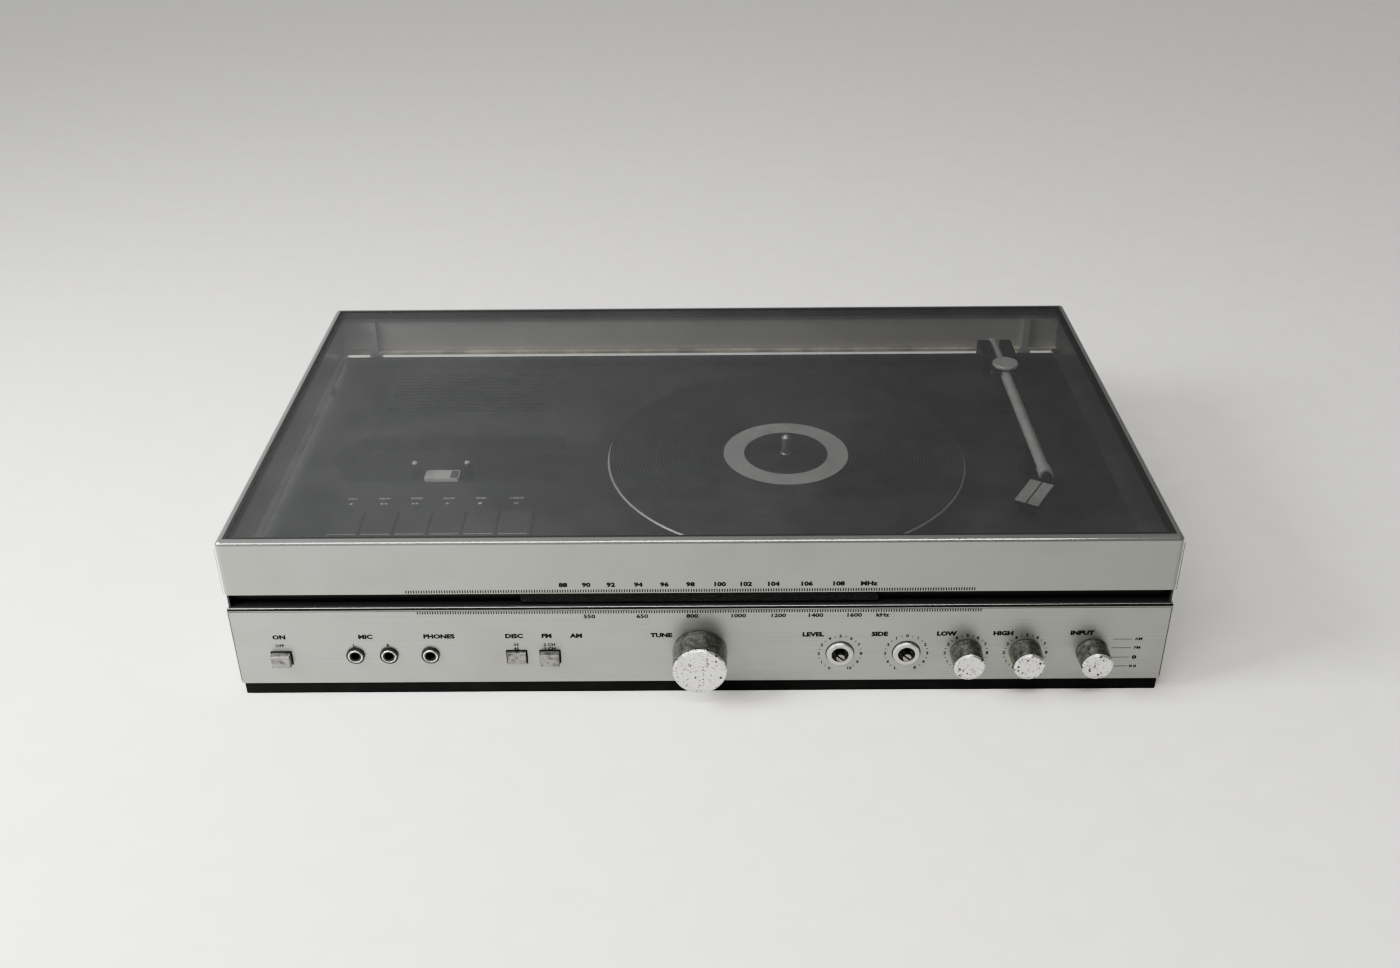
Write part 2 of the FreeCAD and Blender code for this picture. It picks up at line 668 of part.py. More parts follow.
def make_vent_grille():
    """Flush insert with a row of long slots."""
    half_w = GRILLE_WIDTH / 2
    half_d = GRILLE_DEPTH / 2
    bottom = DECK_TOP - GRILLE_THICK
    grille = block(
        KEY_ROW_X - half_w, KEY_ROW_X + half_w, GRILLE_Y - half_d, GRILLE_Y + half_d, bottom, DECK_TOP,
    )
    slots = []
    first = GRILLE_Y - (GRILLE_SLOT_COUNT - 1) * GRILLE_SLOT_PITCH / 2
    for index in range(GRILLE_SLOT_COUNT):
        y = first + index * GRILLE_SLOT_PITCH
        slots.append(block(
            KEY_ROW_X - half_w + GRILLE_SIDE, KEY_ROW_X + half_w - GRILLE_SIDE,
            y - GRILLE_SLOT_WIDTH / 2, y + GRILLE_SLOT_WIDTH / 2, bottom, DECK_TOP,
        ))
    return [grille.cut(Part.Compound(slots))]


def make_lid_frame():
    """Lid walls with a rounded top edge, a ledge for the pane and a lip round the lower inside edge."""
    frame = upright_round(block(LEFT, RIGHT, FRONT, REAR, LID_BOTTOM, LID_TOP), LID_CORNER)
    frame = frame.makeFillet(LID_EDGE_ROUND, edges_at(frame, LID_TOP))
    lip = LID_WALL + LIP_WIDTH
    ledge_bottom = PANE_BOTTOM - LEDGE_THICK
    room = block(
        LEFT + LID_WALL, RIGHT - LID_WALL, FRONT + LID_WALL, REAR - LID_WALL,
        LID_BOTTOM + LIP_HEIGHT, ledge_bottom,
    )
    mouth = block(LEFT + lip, RIGHT - lip, FRONT + lip, REAR - lip, LID_BOTTOM, LID_BOTTOM + LIP_HEIGHT)
    rebate = block(
        LEFT + RIM_WIDTH, RIGHT - RIM_WIDTH, FRONT + RIM_WIDTH, REAR - RIM_WIDTH, PANE_BOTTOM, LID_TOP,
    )
    inset = RIM_WIDTH + LEDGE_WIDTH
    light = block(LEFT + inset, RIGHT - inset, FRONT + inset, REAR - inset, ledge_bottom, PANE_BOTTOM)
    notches = []
    for x in (-HINGE_X, HINGE_X):
        half = HINGE_RIB_WIDTH / 2 + SEAT_GAP
        notches.append(block(
            x - half, x + half, REAR - lip, REAR - LID_WALL, LID_BOTTOM, LID_BOTTOM + LIP_HEIGHT,
        ))
    frame = frame.cut(Part.Compound([room, mouth]))
    frame = frame.cut(Part.Compound([rebate, light]))
    return [frame.cut(Part.Compound(notches))]


def make_lid_pane():
    """Smoked pane that lies on the lid's ledge."""
    inset = RIM_WIDTH + PANE_GAP
    return [block(LEFT + inset, RIGHT - inset, FRONT + inset, REAR - inset, PANE_BOTTOM, PANE_TOP)]


def make_hinge_arms():
    """Two ribs on the lid's rear wall, each ending in an eye with its pin."""
    arms = []
    rib_back = REAR - LID_WALL
    rib_top = PANE_BOTTOM - LEDGE_THICK - HINGE_RIB_TOP
    for x in (-HINGE_X, HINGE_X):
        half = HINGE_RIB_WIDTH / 2
        rib = block(x - half, x + half, rib_back - HINGE_RIB_DEPTH, rib_back, HINGE_Z, rib_top)
        eye = pin(x - half, x + half, HINGE_Y, HINGE_Z, HINGE_EYE_RADIUS)
        reach = half + SEAT_GAP + HINGE_EAR
        shaft = pin(x - reach, x + reach, HINGE_Y, HINGE_Z, HINGE_PIN_RADIUS)
        arms.append(fuse([rib, eye, shaft]))
    return arms


def make_hinge_brackets():
    """Pairs of ears on the cabinet's rear flange that hold the hinge pins."""
    brackets = []
    gap = HINGE_RIB_WIDTH / 2 + SEAT_GAP
    reach = gap + HINGE_EAR
    front = HINGE_Y - HINGE_EYE_RADIUS
    back = HINGE_Y + HINGE_EYE_RADIUS
    for x in (-HINGE_X, HINGE_X):
        ears = []
        for x0 in (x - reach, x + gap):
            foot = block(x0, x0 + HINGE_EAR, front, back, PANEL_TOP, HINGE_Z)
            crown = pin(x0, x0 + HINGE_EAR, HINGE_Y, HINGE_Z, HINGE_EYE_RADIUS)
            ears.append(foot.fuse(crown))
        plate = block(
            x - reach, x + reach, front, back, PANEL_TOP, HINGE_Z - HINGE_EYE_RADIUS - SEAT_GAP,
        )
        whole = fuse(ears + [plate])
        bore = pin(x - reach, x + reach, HINGE_Y, HINGE_Z, HINGE_PIN_RADIUS + RUN_GAP)
        brackets.append(whole.cut(bore))
    return brackets


def make_lid_buffers():
    """Rubber buffers on the deck, under the lid's edge."""
    buffers = []
    inset = DECK_SIDE + SEAT_GAP + BUFFER_RADIUS
    for x in (LEFT + inset, RIGHT - inset):
        for y in (FRONT + BUFFER_FRONT, REAR - BUFFER_BACK):
            buffers.append(post(x, y, DECK_TOP, LID_BOTTOM - SEAT_GAP, BUFFER_RADIUS))
    return buffers


def make_platter():
    """Turntable with a rim, a drive ring under it, a hub and a raised land inside the mat."""
    inner = PLATTER_RADIUS - PLATTER_RIM
    ring_in = DRIVE_RING_RADIUS - DRIVE_RING_WALL
    bore = SPINDLE_SHAFT_RADIUS + PRESS_GAP
    land_top = MAT_TOP - LAND_DROP
    profile = [
        (bore, DRIVE_BOTTOM), (HUB_RADIUS, DRIVE_BOTTOM), (HUB_RADIUS, DRIVE_TOP),
        (ring_in, DRIVE_TOP), (ring_in, DRIVE_BOTTOM), (DRIVE_RING_RADIUS, DRIVE_BOTTOM),
        (DRIVE_RING_RADIUS, DRIVE_TOP), (inner, DRIVE_TOP), (inner, PLATTER_BOTTOM),
        (PLATTER_RADIUS, PLATTER_BOTTOM), (PLATTER_RADIUS, PLATTER_TOP - PLATTER_EDGE),
        (PLATTER_RADIUS - PLATTER_EDGE, PLATTER_TOP), (LAND_OUTER - SEAT_GAP, PLATTER_TOP),
        (LAND_OUTER - SEAT_GAP, land_top), (LAND_INNER + SEAT_GAP, land_top),
        (LAND_INNER + SEAT_GAP, PLATTER_TOP), (bore, PLATTER_TOP),
    ]
    return [turned_up(PLATTER_X, PLATTER_Y, profile)]


def make_platter_mat():
    """Rubber mat in two rings, with a groove that marks the edge of a small record."""
    outer = PLATTER_RADIUS - MAT_MARGIN
    floor = MAT_TOP - MAT_GROOVE_DEPTH
    wide = turned_up(PLATTER_X, PLATTER_Y, [
        (LAND_OUTER, PLATTER_TOP), (outer, PLATTER_TOP), (outer, MAT_TOP),
        (MAT_GROOVE_RADIUS + MAT_GROOVE_WIDTH, MAT_TOP), (MAT_GROOVE_RADIUS + MAT_GROOVE_WIDTH, floor),
        (MAT_GROOVE_RADIUS, floor), (MAT_GROOVE_RADIUS, MAT_TOP), (LAND_OUTER, MAT_TOP),
    ])
    bore = SPINDLE_SHAFT_RADIUS + SEAT_GAP
    small = turned_up(PLATTER_X, PLATTER_Y, [
        (bore, PLATTER_TOP), (LAND_INNER, PLATTER_TOP), (LAND_INNER, MAT_TOP), (bore, MAT_TOP),
    ])
    return [wide, small]


def make_spindle():
    """Record spindle with a tapered tip, whose thicker shaft turns in the bearing."""
    top = MAT_TOP + SPINDLE_ABOVE_MAT
    bottom = DECK_TOP - BEARING_DEPTH + BEARING_END + SEAT_GAP
    return [turned_up(PLATTER_X, PLATTER_Y, [
        (0, bottom), (SPINDLE_SHAFT_RADIUS, bottom), (SPINDLE_SHAFT_RADIUS, MAT_TOP),
        (SPINDLE_RADIUS, MAT_TOP), (SPINDLE_RADIUS, top - SPINDLE_TIP), (SPINDLE_TIP_RADIUS, top), (0, top),
    ])]


def make_platter_bearing():
    """Bearing bush with a flange on the deck and a closed lower end."""
    bore = SPINDLE_SHAFT_RADIUS + RUN_GAP
    bottom = DECK_TOP - BEARING_DEPTH
    top = DECK_TOP + BEARING_FLANGE
    return [turned_up(PLATTER_X, PLATTER_Y, [
        (0, bottom), (BEARING_RADIUS, bottom), (BEARING_RADIUS, DECK_TOP),
        (BEARING_FLANGE_RADIUS, DECK_TOP), (BEARING_FLANGE_RADIUS, top), (bore, top),
        (bore, bottom + BEARING_END), (0, bottom + BEARING_END),
    ])]


def make_turntable_motor():
    """Motor can that hangs under the deck."""
    bottom = PANEL_TOP - MOTOR_HEIGHT
    bore = MOTOR_SHAFT_RADIUS + RUN_GAP
    bore_end = PANEL_TOP - MOTOR_SHAFT_DEPTH
    return [turned_up(MOTOR_X, MOTOR_Y, [
        (0, bottom), (MOTOR_RADIUS - MOTOR_EDGE, bottom), (MOTOR_RADIUS, bottom + MOTOR_EDGE),
        (MOTOR_RADIUS, PANEL_TOP), (bore, PANEL_TOP), (bore, bore_end), (0, bore_end),
    ])]


def make_motor_pulley():
    """Pulley with two lips on its shaft."""
    top = DRIVE_TOP - SEAT_GAP
    low_lip = BELT_BOTTOM - SEAT_GAP
    high_lip = BELT_BOTTOM + BELT_WIDTH + SEAT_GAP
    shaft_bottom = PANEL_TOP - MOTOR_SHAFT_DEPTH + SEAT_GAP
    flange = PULLEY_RADIUS + PULLEY_LIP
    return [turned_up(MOTOR_X, MOTOR_Y, [
        (0, shaft_bottom), (MOTOR_SHAFT_RADIUS, shaft_bottom), (MOTOR_SHAFT_RADIUS, DECK_TOP),
        (flange, DECK_TOP), (flange, low_lip), (PULLEY_RADIUS, low_lip), (PULLEY_RADIUS, high_lip),
        (flange, high_lip), (flange, top), (0, top),
    ])]


def belt_outline(ring_radius, pulley_radius, z):
    """A closed line round two circles and along their outer tangents."""
    spread = math.acos((ring_radius - pulley_radius) / MOTOR_DISTANCE)
    aim = math.radians(MOTOR_ANGLE)

    def point(x, y, radius, angle):
        return vec(x + radius * math.cos(angle), y + radius * math.sin(angle), z)

    ring_a = point(PLATTER_X, PLATTER_Y, ring_radius, aim - spread)
    ring_b = point(PLATTER_X, PLATTER_Y, ring_radius, aim + spread)
    ring_far = point(PLATTER_X, PLATTER_Y, ring_radius, aim + math.pi)
    pulley_a = point(MOTOR_X, MOTOR_Y, pulley_radius, aim - spread)
    pulley_b = point(MOTOR_X, MOTOR_Y, pulley_radius, aim + spread)
    pulley_far = point(MOTOR_X, MOTOR_Y, pulley_radius, aim)
    return Part.Wire([
        Part.Arc(ring_b, ring_far, ring_a).toShape(),
        Part.LineSegment(ring_a, pulley_a).toShape(),
        Part.Arc(pulley_a, pulley_far, pulley_b).toShape(),
        Part.LineSegment(pulley_b, ring_b).toShape(),
    ])


def make_drive_belt():
    """Flat belt round the drive ring and the pulley."""
    inner = belt_outline(DRIVE_RING_RADIUS + SEAT_GAP, PULLEY_RADIUS + SEAT_GAP, BELT_BOTTOM)
    reach = SEAT_GAP + BELT_THICK
    outer = belt_outline(DRIVE_RING_RADIUS + reach, PULLEY_RADIUS + reach, BELT_BOTTOM)
    rise = vec(0, 0, BELT_WIDTH)
    return [Part.Face(outer).extrude(rise).cut(Part.Face(inner).extrude(rise))]


def make_arm_base():
    """Flanged column on the deck, with a nut under it and a bore for the arm's shaft."""
    bore = YOKE_SHAFT_RADIUS + RUN_GAP
    nut_bottom = PANEL_TOP - ARM_NUT_HEIGHT
    shoulder = DECK_TOP + ARM_BASE_FLANGE
    return [turned_up(ARM_X, ARM_Y, [
        (bore, nut_bottom), (ARM_COLUMN_RADIUS, nut_bottom), (ARM_COLUMN_RADIUS, PANEL_TOP),
        (ARM_STEM_RADIUS, PANEL_TOP), (ARM_STEM_RADIUS, DECK_TOP), (ARM_BASE_RADIUS, DECK_TOP),
        (ARM_BASE_RADIUS, shoulder - ARM_EDGE), (ARM_BASE_RADIUS - ARM_EDGE, shoulder),
        (ARM_COLUMN_RADIUS, shoulder), (ARM_COLUMN_RADIUS, COLUMN_TOP), (bore, COLUMN_TOP),
    ])]


def make_arm_yoke():
    """Fork on an upright shaft, with two cheeks that hold the arm's cross pins."""
    bottom = COLUMN_TOP + SEAT_GAP
    half_w = YOKE_WIDTH / 2
    half_d = YOKE_DEPTH / 2
    fork = block(ARM_X - half_w, ARM_X + half_w, ARM_Y - half_d, ARM_Y + half_d, bottom, YOKE_TOP)
    fork = upright_round(fork, YOKE_ROUND)
    slot_half = half_w - YOKE_CHEEK
    slot = block(
        ARM_X - slot_half, ARM_X + slot_half, ARM_Y - half_d, ARM_Y + half_d,
        TUBE_Z - TUBE_RADIUS - YOKE_ABOVE_TUBE, YOKE_TOP,
    )
    shaft = post(ARM_X, ARM_Y, PANEL_TOP - ARM_NUT_HEIGHT, bottom, YOKE_SHAFT_RADIUS)
    bore = pin(ARM_X - half_w, ARM_X + half_w, ARM_Y, TUBE_Z, ARM_PIN_RADIUS + RUN_GAP)
    return [fuse([fork, shaft]).cut(Part.Compound([slot, bore]))]


def make_arm_cap():
    """Round cap on the fork."""
    top = YOKE_TOP + CAP_THICK
    return [turned_up(ARM_X, ARM_Y, [
        (0, YOKE_TOP), (CAP_RADIUS, YOKE_TOP), (CAP_RADIUS, top - ARM_EDGE),
        (CAP_RADIUS - ARM_EDGE, top), (0, top),
    ])]


def make_arm_tube():
    """Hollow arm tube with a collar at its front end and cross pins in the fork."""
    front = ARM_Y - TUBE_FRONT
    rear = ARM_Y + TUBE_REAR
    tube = dowel(ARM_X, TUBE_Z, front, rear, TUBE_RADIUS)
    collar = dowel(ARM_X, TUBE_Z, front, front + COLLAR_LENGTH, COLLAR_RADIUS)
    half = YOKE_WIDTH / 2
    pins = pin(ARM_X - half, ARM_X + half, ARM_Y, TUBE_Z, ARM_PIN_RADIUS)
    bore = dowel(ARM_X, TUBE_Z, front, rear, TUBE_RADIUS - TUBE_WALL)
    return [fuse([tube, collar, pins]).cut(bore)]


def on_headshell(shape):
    """A shape drawn along the arm's line in front of the tube, turned to the headshell's angle."""
    turned = shape.copy()
    turned.rotate(vec(ARM_X, BEND_Y, 0), vec(0, 0, 1), -HEADSHELL_TURN)
    return turned


def headshell_block(half_width, near, far, z0, z1):
    """A box in front of the tube's end, before it is turned."""
    return block(ARM_X - half_width, ARM_X + half_width, BEND_Y - far, BEND_Y - near, z0, z1)


def make_headshell():
    """Flat headshell with a neck that plugs into the tube's collar."""
    far = HEADSHELL_NECK + HEADSHELL_LENGTH
    plate = headshell_block(HEADSHELL_WIDTH / 2, HEADSHELL_NECK, far, HEADSHELL_BOTTOM, HEADSHELL_TOP)
    plate = upright_round(plate, HEADSHELL_FRONT_ROUND)
    neck_end = HEADSHELL_NECK + HEADSHELL_FRONT_ROUND
    neck = headshell_block(PLUG_RADIUS, 0, neck_end, HEADSHELL_BOTTOM, HEADSHELL_TOP)
    knuckle = post(ARM_X, BEND_Y, HEADSHELL_BOTTOM, HEADSHELL_TOP, PLUG_RADIUS)
    plug = dowel(ARM_X, TUBE_Z, BEND_Y, ARM_Y - TUBE_FRONT + COLLAR_LENGTH, PLUG_RADIUS)
    return [fuse([on_headshell(plate.fuse(neck)), knuckle, plug])]


def make_headshell_plate():
    """Two pale plates side by side on the headshell."""
    plates = []
    near = HEADSHELL_NECK + NAMEPLATE_EDGE
    far = HEADSHELL_NECK + HEADSHELL_LENGTH - NAMEPLATE_EDGE
    width = (HEADSHELL_WIDTH - NAMEPLATE_SPLIT) / 2 - NAMEPLATE_EDGE
    top = HEADSHELL_TOP + NAMEPLATE_THICK
    for x0 in (ARM_X - NAMEPLATE_SPLIT / 2 - width, ARM_X + NAMEPLATE_SPLIT / 2):
        plate = block(x0, x0 + width, BEND_Y - far, BEND_Y - near, HEADSHELL_TOP, top)
        plates.append(on_headshell(plate))
    return plates


def make_cartridge():
    """Pick-up cartridge under the headshell, with its stylus."""
    far = HEADSHELL_NECK + HEADSHELL_LENGTH - HEADSHELL_FRONT_ROUND
    near = far - CARTRIDGE_LENGTH
    bottom = STYLUS_Z + STYLUS_LENGTH
    body = headshell_block(CARTRIDGE_WIDTH / 2, near, far, bottom, HEADSHELL_BOTTOM)
    y = BEND_Y - far + HEADSHELL_FRONT_ROUND
    stylus = Part.makeCone(STYLUS_TIP_RADIUS, STYLUS_RADIUS, STYLUS_LENGTH, vec(ARM_X, y, STYLUS_Z))
    return [on_headshell(fuse([body, stylus]))]


def make_counterweight():
    """Weight behind the fork, open above, with the tube lying between its cheeks."""
    half = WEIGHT_WIDTH / 2
    y0 = ARM_Y + WEIGHT_START
    y1 = y0 + WEIGHT_LENGTH
    body = block(ARM_X - half, ARM_X + half, y0, y1, TUBE_Z - WEIGHT_BELOW, TUBE_Z + WEIGHT_ABOVE)
    body = body.makeFillet(WEIGHT_ROUND, edges_along(body, vec(0, 1, 0)))
    room = TUBE_RADIUS + RUN_GAP
    groove = dowel(ARM_X, TUBE_Z, y0, y1, room)
    channel = block(ARM_X - room, ARM_X + room, y0, y1, TUBE_Z, TUBE_Z + WEIGHT_ABOVE)
    return [body.cut(groove.fuse(channel))]


def make_arm_rest():
    """Post with a flat shelf under the tube."""
    top = TUBE_Z - TUBE_RADIUS - SEAT_GAP
    half = REST_SHELF_WIDTH / 2
    foot = post(ARM_X, REST_Y, DECK_TOP, DECK_TOP + REST_BASE_HEIGHT, REST_BASE_RADIUS)
    stem = post(ARM_X, REST_Y, DECK_TOP, top, REST_RADIUS)
    shelf = block(ARM_X - half, ARM_X + half, REST_Y - half, REST_Y + half, top - REST_SHELF_THICK, top)
    return [fuse([foot, stem, upright_round(shelf, REST_ROUND)])]


def make_cassette_tray():
    """Six-sided well with a flange under the deck and holes for the reel shafts."""
    shell = prism(well_outline(WELL_WALL, TRANSPORT_TOP), vec(0, 0, PANEL_TOP - TRANSPORT_TOP))
    flange = prism(well_outline(WELL_WALL + WELL_FLANGE, PANEL_TOP - WELL_WALL), vec(0, 0, WELL_WALL))
    room = prism(well_outline(0, WELL_FLOOR), vec(0, 0, PANEL_TOP - WELL_FLOOR))
    holes = []
    for x in reel_places():
        holes.append(post(x, HUB_Y, TRANSPORT_TOP, WELL_FLOOR, REEL_SHAFT_RADIUS + SEAT_GAP))
    return [fuse([shell, flange]).cut(Part.Compound([room] + holes))]


def reel_places():
    """The two reel shafts' places along the deck."""
    return [TAPE_X - HUB_SPACING / 2, TAPE_X + HUB_SPACING / 2]


def make_reel_spindle(x):
    """Reel spindle with fins and a tapered tip on its shaft."""
    base = WELL_FLOOR + SEAT_GAP
    neck = base + REEL_FLANGE
    top = WELL_FLOOR + REEL_HEIGHT
    shoulder = top - REEL_TIP
    bottom = TRANSPORT_TOP - REEL_SHAFT_DEPTH + SEAT_GAP
    body = turned_up(x, HUB_Y, [
        (0, bottom), (REEL_SHAFT_RADIUS, bottom), (REEL_SHAFT_RADIUS, base), (REEL_FLANGE_RADIUS, base),
        (REEL_FLANGE_RADIUS, neck), (REEL_POST_RADIUS, neck), (REEL_POST_RADIUS, shoulder),
        (REEL_TIP_RADIUS, top), (0, top),
    ])
    half = REEL_FIN_THICK / 2
    fins = []
    for index in range(REEL_FIN_COUNT):
        fin = block(x, x + REEL_FIN_RADIUS, HUB_Y - half, HUB_Y + half, neck, shoulder)
        fin.rotate(vec(x, HUB_Y, 0), vec(0, 0, 1), index * 360 / REEL_FIN_COUNT)
        fins.append(fin)
    return [fuse([body] + fins)]


def make_tape_light():
    """Pale window plate between the reel spindles."""
    half_w = LIGHT_WIDTH / 2
    half_d = LIGHT_DEPTH / 2
    top = WELL_FLOOR + LIGHT_HEIGHT
    plate = block(TAPE_X - half_w, TAPE_X + half_w, HUB_Y - half_d, HUB_Y + half_d, WELL_FLOOR, top)
    return [upright_round(plate, LIGHT_ROUND)]


def make_tape_mechanism():
    """Closed tape transport under the well, with ears that hold the key rod."""
    half = KEY_ROW_HALF + KEY_GAP + TRANSPORT_END
    front = WELL_Y - WELL_HALF_WIDTH - TRANSPORT_FRONT
    rear = WELL_Y + WELL_HALF_WIDTH
    bottom = TRANSPORT_TOP - TRANSPORT_HEIGHT
    body = block(KEY_ROW_X - half, KEY_ROW_X + half, front, rear, bottom, TRANSPORT_TOP)
    ear_top = KEY_ROD_Z + KEY_EYE_RADIUS
    ear_front = KEY_ROD_Y - KEY_EYE_RADIUS
    ear_back = KEY_ROD_Y + KEY_EYE_RADIUS
    low = TRANSPORT_TOP - TRANSPORT_HEIGHT / 2
    ears = []
    for x0 in (KEY_ROW_X - half, KEY_ROW_X + half - TRANSPORT_END):
        ears.append(prism([
            vec(x0, front, low), vec(x0, front, TRANSPORT_TOP), vec(x0, ear_back, TRANSPORT_TOP),
            vec(x0, ear_back, ear_top), vec(x0, ear_front, ear_top),
            vec(x0, ear_front, KEY_ROD_Z - KEY_EYE_RADIUS),
        ], vec(TRANSPORT_END, 0, 0)))
    whole = fuse([body] + ears)
    bores = [pin(KEY_ROW_X - half, KEY_ROW_X + half, KEY_ROD_Y, KEY_ROD_Z, KEY_ROD_RADIUS + PRESS_GAP)]
    shaft_end = TRANSPORT_TOP - REEL_SHAFT_DEPTH
    for x in reel_places():
        bores.append(post(x, HUB_Y, shaft_end, TRANSPORT_TOP, REEL_SHAFT_RADIUS + RUN_GAP))
    return [whole.cut(Part.Compound(bores))]


def make_key_rod():
    """Rod that all the keys turn on."""
    half = KEY_ROW_HALF + KEY_GAP + TRANSPORT_END
    return [pin(KEY_ROW_X - half, KEY_ROW_X + half, KEY_ROD_Y, KEY_ROD_Z, KEY_ROD_RADIUS)]


def make_key(index):
    """Piano key with a lever and an eye on the rod."""
    x = KEY_ROW_X - KEY_ROW_HALF + (index + 0.5) * KEY_PITCH
    half = (KEY_PITCH - KEY_GAP) / 2
    bottom = DECK_TOP - KEY_SINK
    cap = block(x - half, x + half, KEY_REAR - KEY_LENGTH, KEY_REAR, bottom, DECK_TOP + KEY_PROUD)
    cap = cap.makeFillet(KEY_ROUND, edges_at(cap, DECK_TOP + KEY_PROUD))
    x0 = x - KEY_LEVER_WIDTH / 2
    front = KEY_REAR - KEY_LEVER_REACH
    lever = prism([
        vec(x0, front, bottom), vec(x0, KEY_REAR, bottom), vec(x0, KEY_REAR, KEY_ROD_Z + KEY_EYE_RADIUS),
        vec(x0, KEY_ROD_Y, KEY_ROD_Z + KEY_EYE_RADIUS), vec(x0, KEY_ROD_Y, KEY_ROD_Z - KEY_EYE_RADIUS),
        vec(x0, front, KEY_ROD_Z),
    ], vec(KEY_LEVER_WIDTH, 0, 0))
    eye = pin(x0, x0 + KEY_LEVER_WIDTH, KEY_ROD_Y, KEY_ROD_Z, KEY_EYE_RADIUS)
    bore = pin(x0, x0 + KEY_LEVER_WIDTH, KEY_ROD_Y, KEY_ROD_Z, KEY_ROD_RADIUS + RUN_GAP)
    return [fuse([cap, lever, eye]).cut(bore)]


def make_dial_trough():
    """Black channel along the slot between the panel and the lid."""
    x0 = LEFT + DECK_SIDE
    x1 = RIGHT - DECK_SIDE
    front = FRONT + DIAL_FRONT
    back = DECK_FRONT - SEAT_GAP
    floor = block(x0, x1, front, back, PANEL_TOP, PANEL_TOP + DIAL_FLOOR)
    wall = block(x0, x1, back - DIAL_WALL, back, PANEL_TOP, DIAL_TOP)
    left_end = block(x0, x0 + DIAL_WALL, front, back, PANEL_TOP, DIAL_TOP)
    right_end = block(x1 - DIAL_WALL, x1, front, back, PANEL_TOP, DIAL_TOP)
    return [fuse([floor, wall, left_end, right_end])]


def make_dial_window():
    """Smoked window bar in the dial slot."""
    half = WINDOW_LENGTH / 2
    front = FRONT + DIAL_FRONT + WINDOW_BACK
    return [block(-half, half, front, front + WINDOW_THICK, PANEL_TOP + DIAL_FLOOR, DIAL_TOP)]


def make_dial_pointer():
    """Pointer blade on a small foot that slides along the channel."""
    front = FRONT + DIAL_FRONT + WINDOW_BACK + WINDOW_THICK + SEAT_GAP
    back = DECK_FRONT - SEAT_GAP - DIAL_WALL - SEAT_GAP
    bottom = PANEL_TOP + DIAL_FLOOR + SEAT_GAP
    middle = (front + back) / 2
    half = POINTER_FOOT / 2
    foot = block(
        POINTER_X - half, POINTER_X + half, front, back, bottom, bottom + POINTER_FOOT_HEIGHT,
    )
    thin = POINTER_WIDTH / 2
    blade = block(POINTER_X - thin, POINTER_X + thin, front, middle, bottom, DIAL_TOP)
    return [fuse([foot, blade])]


def make_knob(x, z, radius, reach):
    """Turned knob with a drawn-in face edge, on its own shaft."""
    back = FRONT - KNOB_STAND
    face = FRONT - reach
    tail = PANEL_BACK + SHAFT_DEPTH
    front_radius = radius - KNOB_TAPER
    return [turned_out(x, z, [
        (0, tail), (SHAFT_RADIUS, tail), (SHAFT_RADIUS, back), (radius, back),
        (front_radius, face + KNOB_BEVEL), (front_radius - KNOB_BEVEL, face),
        (front_radius - 2 * KNOB_BEVEL, face + KNOB_FACE_SINK), (0, face + KNOB_FACE_SINK),
    ])]


def make_bare_shaft(x):
    """Slotted control shaft without its knob."""
    tip = FRONT - SHAFT_PROUD
    shaft = dowel(x, KNOB_Z, tip, PANEL_BACK + SHAFT_DEPTH, SHAFT_RADIUS)
    slot = block(
        x - SHAFT_RADIUS, x + SHAFT_RADIUS, tip, tip + SHAFT_SLOT_DEPTH,
        KNOB_Z - SHAFT_SLOT / 2, KNOB_Z + SHAFT_SLOT / 2,
    )
    slot.rotate(vec(x, tip, KNOB_Z), vec(0, 1, 0), SHAFT_SLOT_TURN)
    return [shaft.cut(slot)]


def make_shaft_collars():
    """Collars on the panel round the two bare shafts."""
    collars = []
    for x in BARE_SHAFT_PLACES.values():
        collars.append(turned_out(x, KNOB_Z, [
            (COLLAR_HOLE, FRONT), (COLLAR_OUTER, FRONT), (COLLAR_OUTER, FRONT - COLLAR_PROUD + COLLAR_EDGE),
            (COLLAR_OUTER - COLLAR_EDGE, FRONT - COLLAR_PROUD), (COLLAR_HOLE, FRONT - COLLAR_PROUD),
        ]))
    return collars


def make_button(x, proud):
    """Push button with a stem into its switch."""
    half_w = BUTTON_WIDTH / 2
    half_h = BUTTON_HEIGHT / 2
    face = FRONT - proud
    back = PANEL_BACK + BUTTON_DEPTH - proud
    cap = block(x - half_w, x + half_w, face, back, BUTTON_Z - half_h, BUTTON_Z + half_h)
    front_edges = [edge for edge in cap.Edges if edge.BoundBox.YMax < face + PRESS_GAP]
    cap = cap.makeFillet(BUTTON_ROUND, front_edges)
    half_s = BUTTON_STEM / 2
    stem = block(
        x - half_s, x + half_s, back, back + BUTTON_STEM_LENGTH, BUTTON_Z - half_s, BUTTON_Z + half_s,
    )
    return [fuse([cap, stem])]


